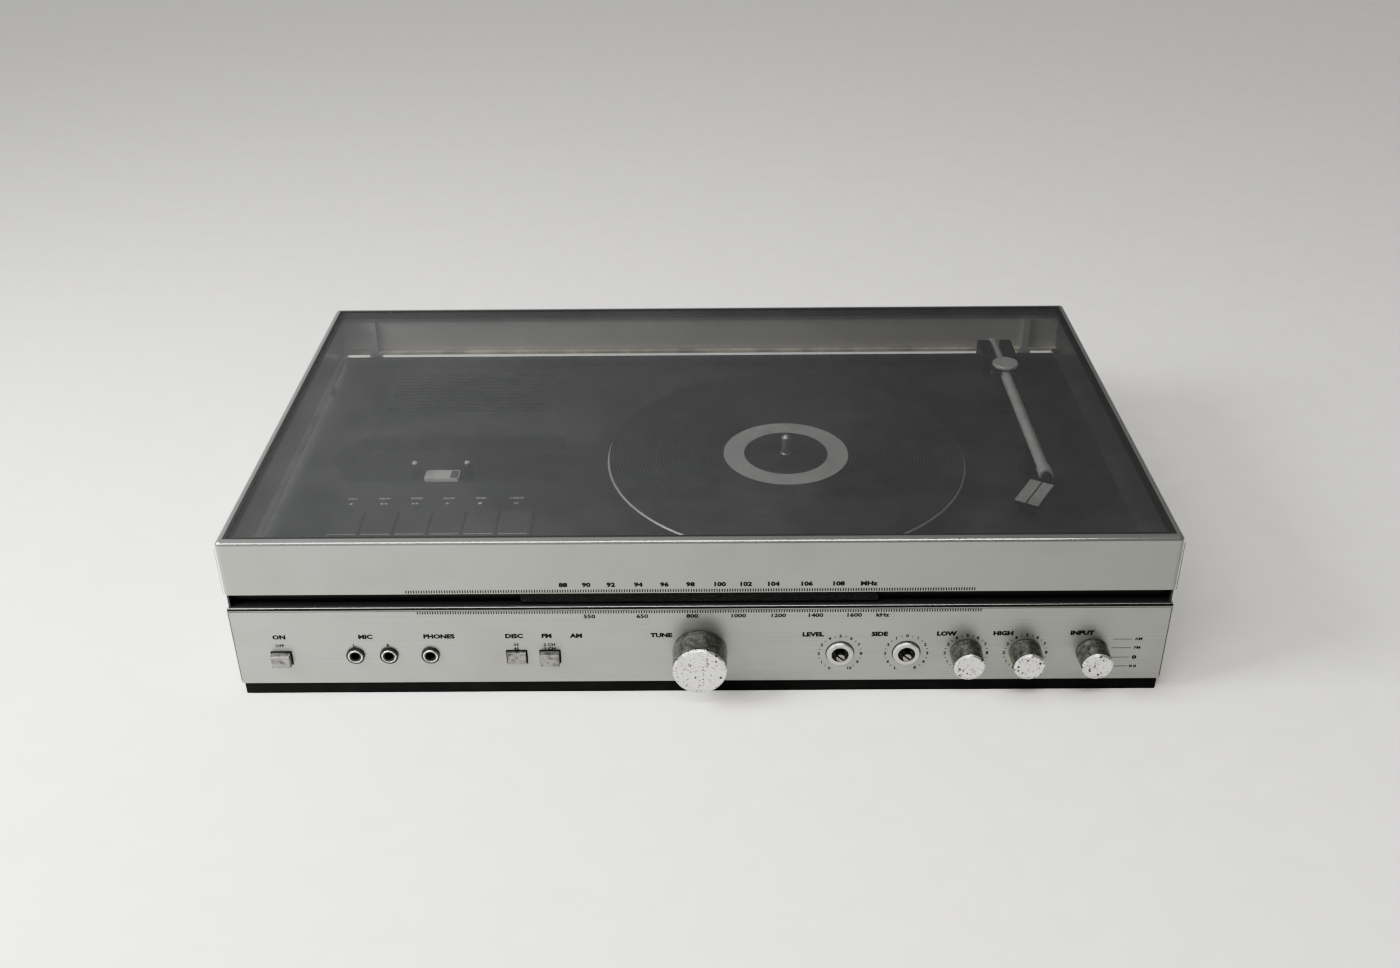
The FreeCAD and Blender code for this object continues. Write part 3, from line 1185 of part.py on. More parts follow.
def make_control_units():
    """Switches, potentiometers and the tuning bush, all against the back of the panel."""
    units = []
    for x, proud in BUTTON_PLACES.values():
        half_w = BUTTON_WIDTH / 2 + SEAT_GAP
        half_h = BUTTON_HEIGHT / 2 + SEAT_GAP
        body = block(
            x - half_w - SWITCH_WALL, x + half_w + SWITCH_WALL, PANEL_BACK, PANEL_BACK + SWITCH_DEPTH,
            BUTTON_Z - half_h - SWITCH_WALL, BUTTON_Z + half_h + SWITCH_WALL,
        )
        room_back = PANEL_BACK + BUTTON_DEPTH - proud + BUTTON_TRAVEL + SEAT_GAP
        room = block(x - half_w, x + half_w, PANEL_BACK, room_back, BUTTON_Z - half_h, BUTTON_Z + half_h)
        half_s = BUTTON_STEM / 2 + SEAT_GAP
        slot = block(
            x - half_s, x + half_s, room_back, room_back + BUTTON_STEM_LENGTH,
            BUTTON_Z - half_s, BUTTON_Z + half_s,
        )
        units.append(body.cut(room.fuse(slot)))
    for x in list(KNOB_PLACES.values()) + list(BARE_SHAFT_PLACES.values()):
        units.append(shaft_bush(x, KNOB_Z))
    units.append(shaft_bush(0, TUNING_Z))
    return units


def shaft_bush(x, z):
    """A round control unit with a bore for its shaft."""
    can = dowel(x, z, PANEL_BACK, PANEL_BACK + POT_DEPTH, POT_RADIUS)
    bore = dowel(x, z, PANEL_BACK, PANEL_BACK + SHAFT_DEPTH + SEAT_GAP, SHAFT_RADIUS + RUN_GAP)
    return can.cut(bore)


def make_jack_sockets():
    """Jack sockets with a bush through the panel and a plug bore."""
    sockets = []
    half = JACK_BODY_WIDTH / 2
    back = PANEL_BACK + JACK_BODY_DEPTH
    for x in JACK_PLACES:
        body = block(x - half, x + half, PANEL_BACK, back, JACK_Z - half, JACK_Z + half)
        bush = dowel(x, JACK_Z, FRONT - JACK_NUT_THICK, PANEL_BACK, JACK_BUSH_RADIUS)
        bore = dowel(x, JACK_Z, FRONT - JACK_NUT_THICK, back - JACK_END, JACK_BORE_RADIUS)
        sockets.append(fuse([body, bush]).cut(bore))
    return sockets


def make_jack_nuts():
    """Round nuts on the jack bushes."""
    nuts = []
    for x in JACK_PLACES:
        nut = dowel(x, JACK_Z, FRONT - JACK_NUT_THICK, FRONT, JACK_NUT_RADIUS)
        nuts.append(nut.cut(dowel(x, JACK_Z, FRONT - JACK_NUT_THICK, FRONT, JACK_BUSH_RADIUS + PRESS_GAP)))
    return nuts


def make_transformer():
    """Mains transformer: laminated core, coil and mounting feet."""
    x = RIGHT - TRANSFORMER_INSET
    y = REAR - TRANSFORMER_BACK
    half = TRANSFORMER_CORE / 2
    half_d = TRANSFORMER_DEPTH / 2
    core = block(x - half, x + half, y - half_d, y + half_d, TRAY_TOP, TRAY_TOP + TRANSFORMER_HEIGHT)
    coil_half = TRANSFORMER_COIL / 2
    middle = TRAY_TOP + TRANSFORMER_HEIGHT / 2
    coil = block(
        x - half + COIL_MARGIN, x + half - COIL_MARGIN, y - coil_half, y + coil_half,
        middle - TRANSFORMER_COIL_HEIGHT / 2, middle + TRANSFORMER_COIL_HEIGHT / 2,
    )
    coil = upright_round(coil, COIL_ROUND)
    reach = half + STRAP_REACH
    strap = block(x - reach, x + reach, y - half_d, y + half_d, TRAY_TOP, TRAY_TOP + STRAP_THICK)
    return [fuse([core, coil, strap])]


def make_main_board():
    """Amplifier board with a finned heat sink and its large capacitors."""
    x0 = BOARD_LEFT
    y0 = FRONT + BOARD_FRONT
    top = BOARD_Z + BOARD_THICK
    board = block(x0, x0 + BOARD_WIDTH, y0, y0 + BOARD_DEPTH, BOARD_Z, top)
    sink_x = x0 + BOARD_WIDTH - SINK_WIDTH - BOARD_POST_INSET
    sink_y = y0 + BOARD_POST_INSET
    pieces = [board, block(sink_x, sink_x + SINK_WIDTH, sink_y, sink_y + SINK_FIN, top, top + SINK_HEIGHT)]
    for index in range(int(SINK_WIDTH / SINK_FIN_PITCH)):
        x = sink_x + index * SINK_FIN_PITCH
        pieces.append(block(x, x + SINK_FIN, sink_y, sink_y + SINK_FIN_DEPTH, top, top + SINK_HEIGHT))
    for index in range(CAPACITOR_COUNT):
        x = x0 + CAPACITOR_STEP * (index + 1)
        pieces.append(post(x, y0 + CAPACITOR_STEP, top, top + CAPACITOR_HEIGHT, CAPACITOR_RADIUS))
    return [fuse(pieces)]


def make_tuner_unit():
    """Screened tuner box with ribs on its cover."""
    y = FRONT + TUNER_FRONT
    half_w = TUNER_WIDTH / 2
    half_d = TUNER_DEPTH / 2
    top = TRAY_TOP + TUNER_HEIGHT
    can = block(TUNER_X - half_w, TUNER_X + half_w, y - half_d, y + half_d, TRAY_TOP, top)
    can = upright_round(can, TUNER_ROUND)
    reach = half_d - TUNER_ROUND
    ribs = []
    for index in range(TUNER_RIB_COUNT):
        x = TUNER_X + (index - (TUNER_RIB_COUNT - 1) / 2) * TUNER_RIB_PITCH
        ribs.append(block(x - TUNER_RIB, x + TUNER_RIB, y - reach, y + reach, top, top + TUNER_RIB))
    return [fuse([can] + ribs)]


def make_socket_panel():
    """Rear connection plate with a row of round sockets."""
    half = SOCKET_WIDTH / 2
    inner = REAR - SHELL_WALL
    top = SOCKET_Z + SOCKET_HEIGHT
    plate = block(SOCKET_X - half, SOCKET_X + half, inner - SOCKET_PLATE, inner, SOCKET_Z, top)
    middle = SOCKET_Z + SOCKET_HEIGHT / 2
    cups = []
    recesses = []
    for index in range(DIN_COUNT):
        x = SOCKET_X + (index - (DIN_COUNT - 1) / 2) * DIN_PITCH
        cups.append(dowel(x, middle, inner - DIN_BODY, inner + DIN_RECESS, DIN_RADIUS))
        recesses.append(dowel(x, middle, inner, inner + DIN_RECESS, DIN_RADIUS - DIN_WALL))
    return [fuse([plate] + cups).cut(Part.Compound(recesses))]


def make_cable_gland():
    """Gland for the mains lead, clipped in the rear wall."""
    inner = REAR - SHELL_WALL
    outer = REAR + GLAND_REACH
    tail = inner - GLAND_TAIL
    return [turned_out(GLAND_X, GLAND_Z, [
        (GLAND_HOLE, tail), (GLAND_HEAD_RADIUS, tail), (GLAND_HEAD_RADIUS, inner), (GLAND_RADIUS, inner),
        (GLAND_RADIUS, REAR), (GLAND_HEAD_RADIUS, REAR), (GLAND_RADIUS, outer), (GLAND_HOLE, outer),
    ])]


PIECES = {
    "base_tray": make_base_tray(),
    "feet": make_feet(),
    "cabinet_shell": make_cabinet_shell(),
    "front_panel": make_front_panel(),
    "deck_plate": make_deck_plate(),
    "vent_grille": make_vent_grille(),
    "cassette_tray": make_cassette_tray(),
    "tape_light": make_tape_light(),
    "tape_mechanism": make_tape_mechanism(),
    "key_rod": make_key_rod(),
    "platter_bearing": make_platter_bearing(),
    "turntable_motor": make_turntable_motor(),
    "drive_belt": make_drive_belt(),
    "arm_base": make_arm_base(),
    "arm_rest": make_arm_rest(),
    "dial_trough": make_dial_trough(),
    "dial_window": make_dial_window(),
    "control_units": make_control_units(),
    "shaft_collars": make_shaft_collars(),
    "jack_sockets": make_jack_sockets(),
    "jack_nuts": make_jack_nuts(),
    "transformer": make_transformer(),
    "main_board": make_main_board(),
    "tuner_unit": make_tuner_unit(),
    "socket_panel": make_socket_panel(),
    "cable_gland": make_cable_gland(),
    "hinge_brackets": make_hinge_brackets(),
    "lid_buffers": make_lid_buffers(),
    "lid_frame": make_lid_frame(),
    "lid_pane": make_lid_pane(),
    "hinge_arms": make_hinge_arms(),
    "platter": make_platter(),
    "platter_mat": make_platter_mat(),
    "spindle": make_spindle(),
    "motor_pulley": make_motor_pulley(),
    "arm_yoke": make_arm_yoke(),
    "arm_cap": make_arm_cap(),
    "arm_tube": make_arm_tube(),
    "headshell": make_headshell(),
    "headshell_plate": make_headshell_plate(),
    "cartridge": make_cartridge(),
    "counterweight": make_counterweight(),
    "supply_spindle": make_reel_spindle(reel_places()[0]),
    "takeup_spindle": make_reel_spindle(reel_places()[1]),
    "tuning_knob": make_knob(0, TUNING_Z, TUNING_RADIUS, TUNING_REACH),
    "dial_pointer": make_dial_pointer(),
}
for order, name in enumerate(KEY_NAMES):
    PIECES[name] = make_key(order)
for name, place in KNOB_PLACES.items():
    PIECES[name] = make_knob(place, KNOB_Z, KNOB_RADIUS, KNOB_REACH)
for name, place in BARE_SHAFT_PLACES.items():
    PIECES[name] = make_bare_shaft(place)
for name, (place, proud) in BUTTON_PLACES.items():
    PIECES[name] = make_button(place, proud)

for name, solids in PIECES.items():
    shape = solids[0] if len(solids) == 1 else Part.Compound(solids)
    shape.exportStep("parts/" + name + ".step")
print(len(PIECES), "pieces")
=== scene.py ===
import logging
import math
from dataclasses import dataclass, field
from enum import Enum
from typing import Callable, ClassVar, Dict, List, Optional, Sequence, Tuple

import bmesh
import bpy
from mathutils import Matrix, Vector


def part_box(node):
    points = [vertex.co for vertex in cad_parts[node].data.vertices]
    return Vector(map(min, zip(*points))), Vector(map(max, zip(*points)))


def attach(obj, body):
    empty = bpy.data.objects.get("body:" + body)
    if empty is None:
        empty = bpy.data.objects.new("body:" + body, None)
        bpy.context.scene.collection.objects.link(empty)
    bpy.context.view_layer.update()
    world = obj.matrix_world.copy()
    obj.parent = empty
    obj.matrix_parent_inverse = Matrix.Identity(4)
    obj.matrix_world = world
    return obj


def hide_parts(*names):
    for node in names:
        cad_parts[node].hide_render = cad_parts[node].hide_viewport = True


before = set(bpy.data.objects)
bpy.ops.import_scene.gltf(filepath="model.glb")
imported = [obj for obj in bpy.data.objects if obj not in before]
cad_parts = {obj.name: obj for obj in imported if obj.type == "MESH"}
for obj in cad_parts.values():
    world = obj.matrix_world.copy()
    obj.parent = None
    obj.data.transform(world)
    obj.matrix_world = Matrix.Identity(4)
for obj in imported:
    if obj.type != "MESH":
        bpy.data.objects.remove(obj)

LOG = logging.getLogger("record_player")
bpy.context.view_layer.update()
MM = 0.001
SMOOTH_ANGLE = math.radians(35.0)
CAPITAL_SHARE = 0.7
PRINT_THICK = 0.02
MARK_THICK = 0.03
SLACK = 0.1
MERGE_GAP = 0.000002
PATCH_DETAIL = 6.0
STRAIGHT = Matrix.Identity(4)

Colour = Tuple[float, float, float]
Point = Tuple[float, float, float]
Span = Tuple[float, float]
Row = Tuple[float, ...]
Profile = Tuple[Span, ...]
Marks = Tuple[Tuple[str, float], ...]
Piece = bpy.types.Object
Socket = bpy.types.NodeSocket

UNIT: Span = (0.0, 1.0)


def metres(x: float, y: float, z: float) -> Vector:
    """Turn millimetres into a point in metres."""
    return Vector((x, y, z)) * MM


def around(middle: Point, radius: float, degrees: float) -> Point:
    """Give the point on an upright circle that lies at an angle from its top."""
    angle = math.radians(degrees)
    return (middle[0] + radius * math.sin(angle), middle[1], middle[2] + radius * math.cos(angle))


class Facing(Enum):
    """Side of the object that a printed mark or a screw looks to."""

    FRONT = "front"
    REAR = "rear"
    UP = "up"

    def turn(self) -> Matrix:
        """Find the turn that takes a flat drawing to this side.

        Returns:
            The turn.
        """
        upright = Matrix.Rotation(math.radians(90.0), 4, "X")
        if self is Facing.FRONT:
            return upright
        if self is Facing.REAR:
            return Matrix.Rotation(math.pi, 4, "Z") @ upright
        return STRAIGHT


class Lay(Enum):
    """Direction of the drawn lines in a brushed surface, as noise scales along X, Y and Z."""

    ACROSS = (7.0, 2600.0, 2600.0)
    DEEP = (2600.0, 7.0, 2600.0)


class Spin(Enum):
    """Axis of a turned surface."""

    UP = (1.0, 1.0, 0.0)
    OUT = (1.0, 0.0, 1.0)


class Nodes:
    """A tree of shader nodes."""

    def __init__(self, tree: bpy.types.NodeTree) -> None:
        """Take the tree."""
        self.tree = tree

    def wire(self, kind: str, output: str, inputs: Dict[object, object], **options: object) -> Socket:
        """Add a node and wire it up.

        Args:
            kind: The node's type, without the common prefix.
            output: The output that is wanted.
            inputs: A socket or a value for each input, by name or number.
            options: The node's own settings.

        Returns:
            The output.
        """
        node = self.tree.nodes.new("ShaderNode" + kind)
        for name, value in options.items():
            setattr(node, name, value)
        for name, value in inputs.items():
            if isinstance(value, Socket):
                self.tree.links.new(value, node.inputs[name])
            else:
                node.inputs[name].default_value = value
        return node.outputs[output]

    def ramp(self, value: Socket, places: Span, colours: Tuple[Colour, Colour]) -> Socket:
        """Turn a value into a colour.

        Args:
            value: The value.
            places: The values at which the colours are pure.
            colours: The colours.

        Returns:
            The colour.
        """
        mixed = self.wire("ValToRGB", "Color", {"Fac": value})
        for stop, place, colour in zip(mixed.node.color_ramp.elements, places, colours):
            stop.position = place
            stop.color = (*colour, 1.0)
        return mixed


class NodeGraph(Nodes):
    """One material's nodes, with short calls that add and join them."""

    fine_range: Span = (0.25, 0.75)
    spot_chance: Span = (0.35, 1.0)
    spot_edge: float = 0.06
    ring_detail: float = 2.0
    blend: float = 0.1

    def __init__(self, name: str) -> None:
        """Start a material with a single surface shader.

        Args:
            name: The material's name.
        """
        self.material = bpy.data.materials.new(name)
        self.material.use_nodes = True
        super().__init__(self.material.node_tree)
        self.tree.nodes.clear()
        surface = self.wire("BsdfPrincipled", "BSDF", {})
        self.shader = surface.node
        self.tree.links.new(surface, self.tree.nodes.new("ShaderNodeOutputMaterial").inputs["Surface"])
        self.coords = self.wire("TexCoord", "Object", {})

    def drive(self, name: str, source: Socket) -> None:
        """Let a socket drive one of the shader's inputs."""
        self.tree.links.new(source, self.shader.inputs[name])

    def driver_of(self, name: str) -> Socket:
        """Give the socket that drives one of the shader's inputs."""
        return self.shader.inputs[name].links[0].from_socket

    def fix(self, name: str, value: float) -> None:
        """Set one of the shader's inputs to one value all over."""
        self.shader.inputs[name].default_value = value

    def mapped(self, scale: Point, centre: Point = (0.0, 0.0, 0.0)) -> Socket:
        """Scale the object's coordinates about a centre in metres."""
        start = [-c * factor for c, factor in zip(centre, scale)]
        return self.wire("Mapping", "Vector", {"Vector": self.coords, "Location": start, "Scale": scale})

    def noise(self, vector: Socket, scale: float, detail: float = 3.0) -> Socket:
        """Give a noise pattern, from 0 to 1."""
        return self.wire("TexNoise", "Fac", {"Vector": vector, "Scale": scale, "Detail": detail})

    def rings(self, centre: Point, spin: Spin, scale: float) -> Socket:
        """Give fine rings round an axis.

        Args:
            centre: A point on the axis, in metres.
            spin: The axis.
            scale: Rings for each metre of radius.

        Returns:
            A value from 0 to 1.
        """
        radius = self.wire("VectorMath", "Value", {0: self.mapped(spin.value, centre)}, operation="LENGTH")
        inputs = {"W": radius, "Scale": scale, "Detail": self.ring_detail}
        return self.wire("TexNoise", "Fac", inputs, noise_dimensions="1D")

    def spots(self, scale: float, size: float) -> Socket:
        """Scatter round spots of uneven size.

        Args:
            scale: Cells for each metre.
            size: The largest spot, as a share of a cell.

        Returns:
            1 inside a spot and 0 outside.
        """
        cells = self.wire("TexVoronoi", "Color", {"Vector": self.coords, "Scale": scale})
        chance = self.wire("SeparateColor", "Red", {"Color": cells})
        reach = self.spread(chance, self.spot_chance, (0.0, size))
        gap = self.maths("SUBTRACT", reach, cells.node.outputs["Distance"])
        return self.spread(gap, (0.0, self.spot_edge), UNIT)

    def maths(self, action: str, first: Socket, second: Socket) -> Socket:
        """Join two values by one operation, and hold the outcome between 0 and 1."""
        return self.wire("Math", "Value", {0: first, 1: second}, operation=action, use_clamp=True)

    def both(self, first: Socket, second: Socket) -> Socket:
        """Give the product of two values."""
        return self.maths("MULTIPLY", first, second)

    def either(self, first: Socket, second: Socket) -> Socket:
        """Give the greater of two values."""
        return self.maths("MAXIMUM", first, second)

    def spread(self, value: Socket, old: Span, new: Span) -> Socket:
        """Take a value from one range to another, and hold it there."""
        ends = {"From Min": old[0], "From Max": old[1], "To Min": new[0], "To Max": new[1]}
        return self.wire("MapRange", "Result", {"Value": value, **ends})

    def cover(self, mask: Socket, under: Socket, over: Colour) -> Socket:
        """Lay a colour over another where a mask says so."""
        return self.wire("Mix", "Result", {"Factor": mask, "A": under, "B": (*over, 1.0)}, data_type="RGBA")

    def paint(self, mask: Socket, colour: Colour) -> None:
        """Lay a colour over the shader's own where a mask says so."""
        self.drive("Base Color", self.cover(mask, self.driver_of("Base Color"), colour))

    def within(self, axis: str, low: float, high: float) -> Socket:
        """Mark the points between two places along one axis.

        Args:
            axis: X, Y or Z.
            low: The lower place, in millimetres.
            high: The higher place.

        Returns:
            1 between the places and 0 outside.
        """
        place, blend = self.wire("SeparateXYZ", axis, {"Vector": self.coords}), self.blend
        above = self.spread(place, ((low - blend) * MM, (low + blend) * MM), UNIT)
        below = self.spread(place, ((high - blend) * MM, (high + blend) * MM), (1.0, 0.0))
        return self.both(above, below)

    def overlay(self, mask: Socket, colour: Colour, metallic: float) -> None:
        """Lay a coat that isn't metal over a surface that is as metallic as given."""
        self.paint(mask, colour)
        self.drive("Metallic", self.spread(mask, UNIT, (metallic, 0.0)))

    def relief(self, height: Socket, strength: float, depth: float) -> None:
        """Bump the surface by a pattern of a depth in metres."""
        inputs = {"Height": height, "Strength": strength, "Distance": depth}
        self.drive("Normal", self.wire("Bump", "Normal", inputs))


@dataclass(frozen=True)
class Finish:
    """A surface finish: two tones, a gloss range, a relief and what soils it."""

    name: str
    light: Colour
    dark: Colour
    metallic: float = 0.0
    gloss: Span = (0.4, 0.6)
    relief: float = 0.15
    depth: float = 0.0001
    scale: float = 900.0
    soil: Colour = (0.2, 0.18, 0.15)
    soiled: float = 0.0
    soil_scale: float = 30.0
    shine: float = 0.5
    cloud_detail: ClassVar[float] = 8.0
    cloud_range: ClassVar[Span] = (0.48, 0.72)

    def pattern(self, graph: NodeGraph) -> Socket:
        """Give the fine pattern that drives tone, gloss and relief."""
        return graph.noise(graph.coords, self.scale)

    def material(self) -> bpy.types.Material:
        """Make the material, or give the one made before.

        Returns:
            The material.
        """
        known = bpy.data.materials.get(self.name)
        if known:
            return known
        graph = NodeGraph(self.name)
        graph.fix("Metallic", self.metallic)
        graph.fix("Specular IOR Level", self.shine)
        fine = self.pattern(graph)
        tone = graph.ramp(fine, graph.fine_range, (self.dark, self.light))
        if self.soiled > 0.0:
            cloud = graph.noise(graph.coords, self.soil_scale, self.cloud_detail)
            mask = graph.spread(cloud, self.cloud_range, (0.0, self.soiled))
            tone = graph.cover(mask, tone, self.soil)
        graph.drive("Base Color", tone)
        graph.drive("Roughness", graph.spread(fine, graph.fine_range, self.gloss))
        graph.relief(fine, self.relief, self.depth)
        self.extras(graph)
        return graph.material

    def extras(self, graph: NodeGraph) -> None:
        """Add what only some finishes have."""


@dataclass(frozen=True)
class BrushedFinish(Finish):
    """Metal drawn in one direction."""

    lay: Lay = Lay.ACROSS
    line_detail: ClassVar[float] = 4.0

    def pattern(self, graph: NodeGraph) -> Socket:
        """Give long fine lines."""
        return graph.noise(graph.mapped(self.lay.value), 1.0, self.line_detail)


@dataclass(frozen=True)
class TurnedFinish(Finish):
    """Metal turned on a lathe, with rings round its own axis."""

    centre: Point = (0.0, 0.0, 0.0)
    spin: Spin = Spin.UP

    def pattern(self, graph: NodeGraph) -> Socket:
        """Give fine rings."""
        return graph.rings(tuple(metres(*self.centre)), self.spin, self.scale)


@dataclass(frozen=True)
class PlatterFinish(TurnedFinish):
    """Turned metal with a dark side below its bright rim."""

    side: Colour = (0.035, 0.035, 0.036)
    rim: float = 90.8

    def extras(self, graph: NodeGraph) -> None:
        """Darken the side."""
        graph.overlay(graph.within("Z", 0.0, self.rim), self.side, self.metallic)


@dataclass(frozen=True)
class PittedFinish(TurnedFinish):
    """Plating whose side behind the bright face is darkened by painted reflection with tarnished patches, and dark pits
    where it has corroded.
    """

    pit: Colour = (0.03, 0.025, 0.02)
    fine_pits: Span = (800.0, 0.5)
    coarse_pits: Span = (340.0, 0.44)
    # Dark tone of the painted reflection on the side, with tarnished patches.
    side: Colour = (0.13, 0.135, 0.115)
    reflection_and_wear_scale: float = 260.0
    reflection_and_wear_range: Span = (0.3, 0.65)
    reflection_and_wear_share: Span = (1.0, 0.6)
    face: float = -205.3
    face_depth: float = 1.4

    def extras(self, graph: NodeGraph) -> None:
        """Darken the side with painted reflection and tarnished patches, and lay fine and coarse pits over the plating.

        Args:
            graph: The material's nodes.
        """
        # The side is painted dark as the chrome's reflection of a dark room; noise varies it in tarnished patches.
        cloud = graph.noise(graph.coords, self.reflection_and_wear_scale, PATCH_DETAIL)
        reflection_and_wear = graph.spread(cloud, self.reflection_and_wear_range, self.reflection_and_wear_share)
        graph.paint(graph.both(graph.within("Y", self.face + self.face_depth, 0.0), reflection_and_wear), self.side)
        pits = graph.either(graph.spots(*self.fine_pits), graph.spots(*self.coarse_pits))
        graph.overlay(pits, self.pit, self.metallic)


@dataclass(frozen=True)
class LitLedgeFinish(Finish):
    """Paint with painted light laid pale on the lid's inner ledge, a pale matte painted light on the inside of its rear
    side and a polished upper edge.
    """

    # Pale warm tone of the painted light on the left and rear ledge.
    ledge_light: Colour = (0.90, 0.84, 0.68)
    patch_scale: Point = (50.0, 14.0, 50.0)
    patch_range: Span = (0.3, 0.6)
    patch_share: Span = (0.5, 1.0)
    ledge_x: Span = (-327.4, -321.5)
    ledge_y: Span = (194.5, 200.4)
    ledge_top: float = 90.3
    front_wall: float = -184.4
    # Pale matte tone of the painted light on the inside of the rear side.
    wall: Colour = (0.52, 0.52, 0.50)
    wall_share: float = 0.85
    wall_y: Span = (200.1, 200.9)
    wall_top: float = 126.8
    edge_z: Span = (127.0, 140.0)
    polish: float = 0.42

    def extras(self, graph: NodeGraph) -> None:
        """Lay painted light along the left and the rear ledge and a pale matte painted light on the inside of the rear
        side, and polish the edge.

        Args:
            graph: The material's nodes.
        """
        sides = graph.either(graph.within("X", *self.ledge_x), graph.within("Y", *self.ledge_y))
        ledge = graph.both(sides, graph.within("Z", 0.0, self.ledge_top))
        inside_x = graph.within("X", self.ledge_x[0], -self.ledge_x[0])
        inside = graph.both(inside_x, graph.within("Y", self.front_wall, self.ledge_y[1]))
        cloud = graph.noise(graph.mapped(self.patch_scale), 1.0, PATCH_DETAIL)
        patches = graph.spread(cloud, self.patch_range, self.patch_share)
        # Painted light: the ledge and the inside of the rear side are laid pale where they catch the light.
        lit_ledge = graph.both(graph.both(ledge, inside), patches)
        rise = graph.both(graph.within("Y", *self.wall_y), graph.within("Z", self.ledge_top, self.wall_top))
        wall = graph.spread(graph.both(rise, inside_x), UNIT, (0.0, self.wall_share))
        graph.overlay(graph.either(lit_ledge, wall), self.ledge_light, self.metallic)
        graph.paint(wall, self.wall)
        edge = graph.spread(graph.within("Z", *self.edge_z), UNIT, (1.0, self.polish))
        graph.drive("Roughness", graph.both(graph.driver_of("Roughness"), edge))


@dataclass(frozen=True)
class SmokedFinish(Finish):
    """Clear dark plastic with a dusting on it."""

    clear: float = 0.5
    bending: float = 2.5
    streak_scale: Point = (9.0, 30.0, 9.0)
    streak_range: Span = (0.35, 0.7)

    def extras(self, graph: NodeGraph) -> None:
        """Let light through, and streak the polished face.

        Args:
            graph: The material's nodes.
        """
        graph.fix("Alpha", 1.0 - self.clear)
        graph.fix("IOR", self.bending)
        streak = graph.noise(graph.mapped(self.streak_scale), 1.0, PATCH_DETAIL)
        graph.drive("Roughness", graph.spread(streak, self.streak_range, self.gloss))


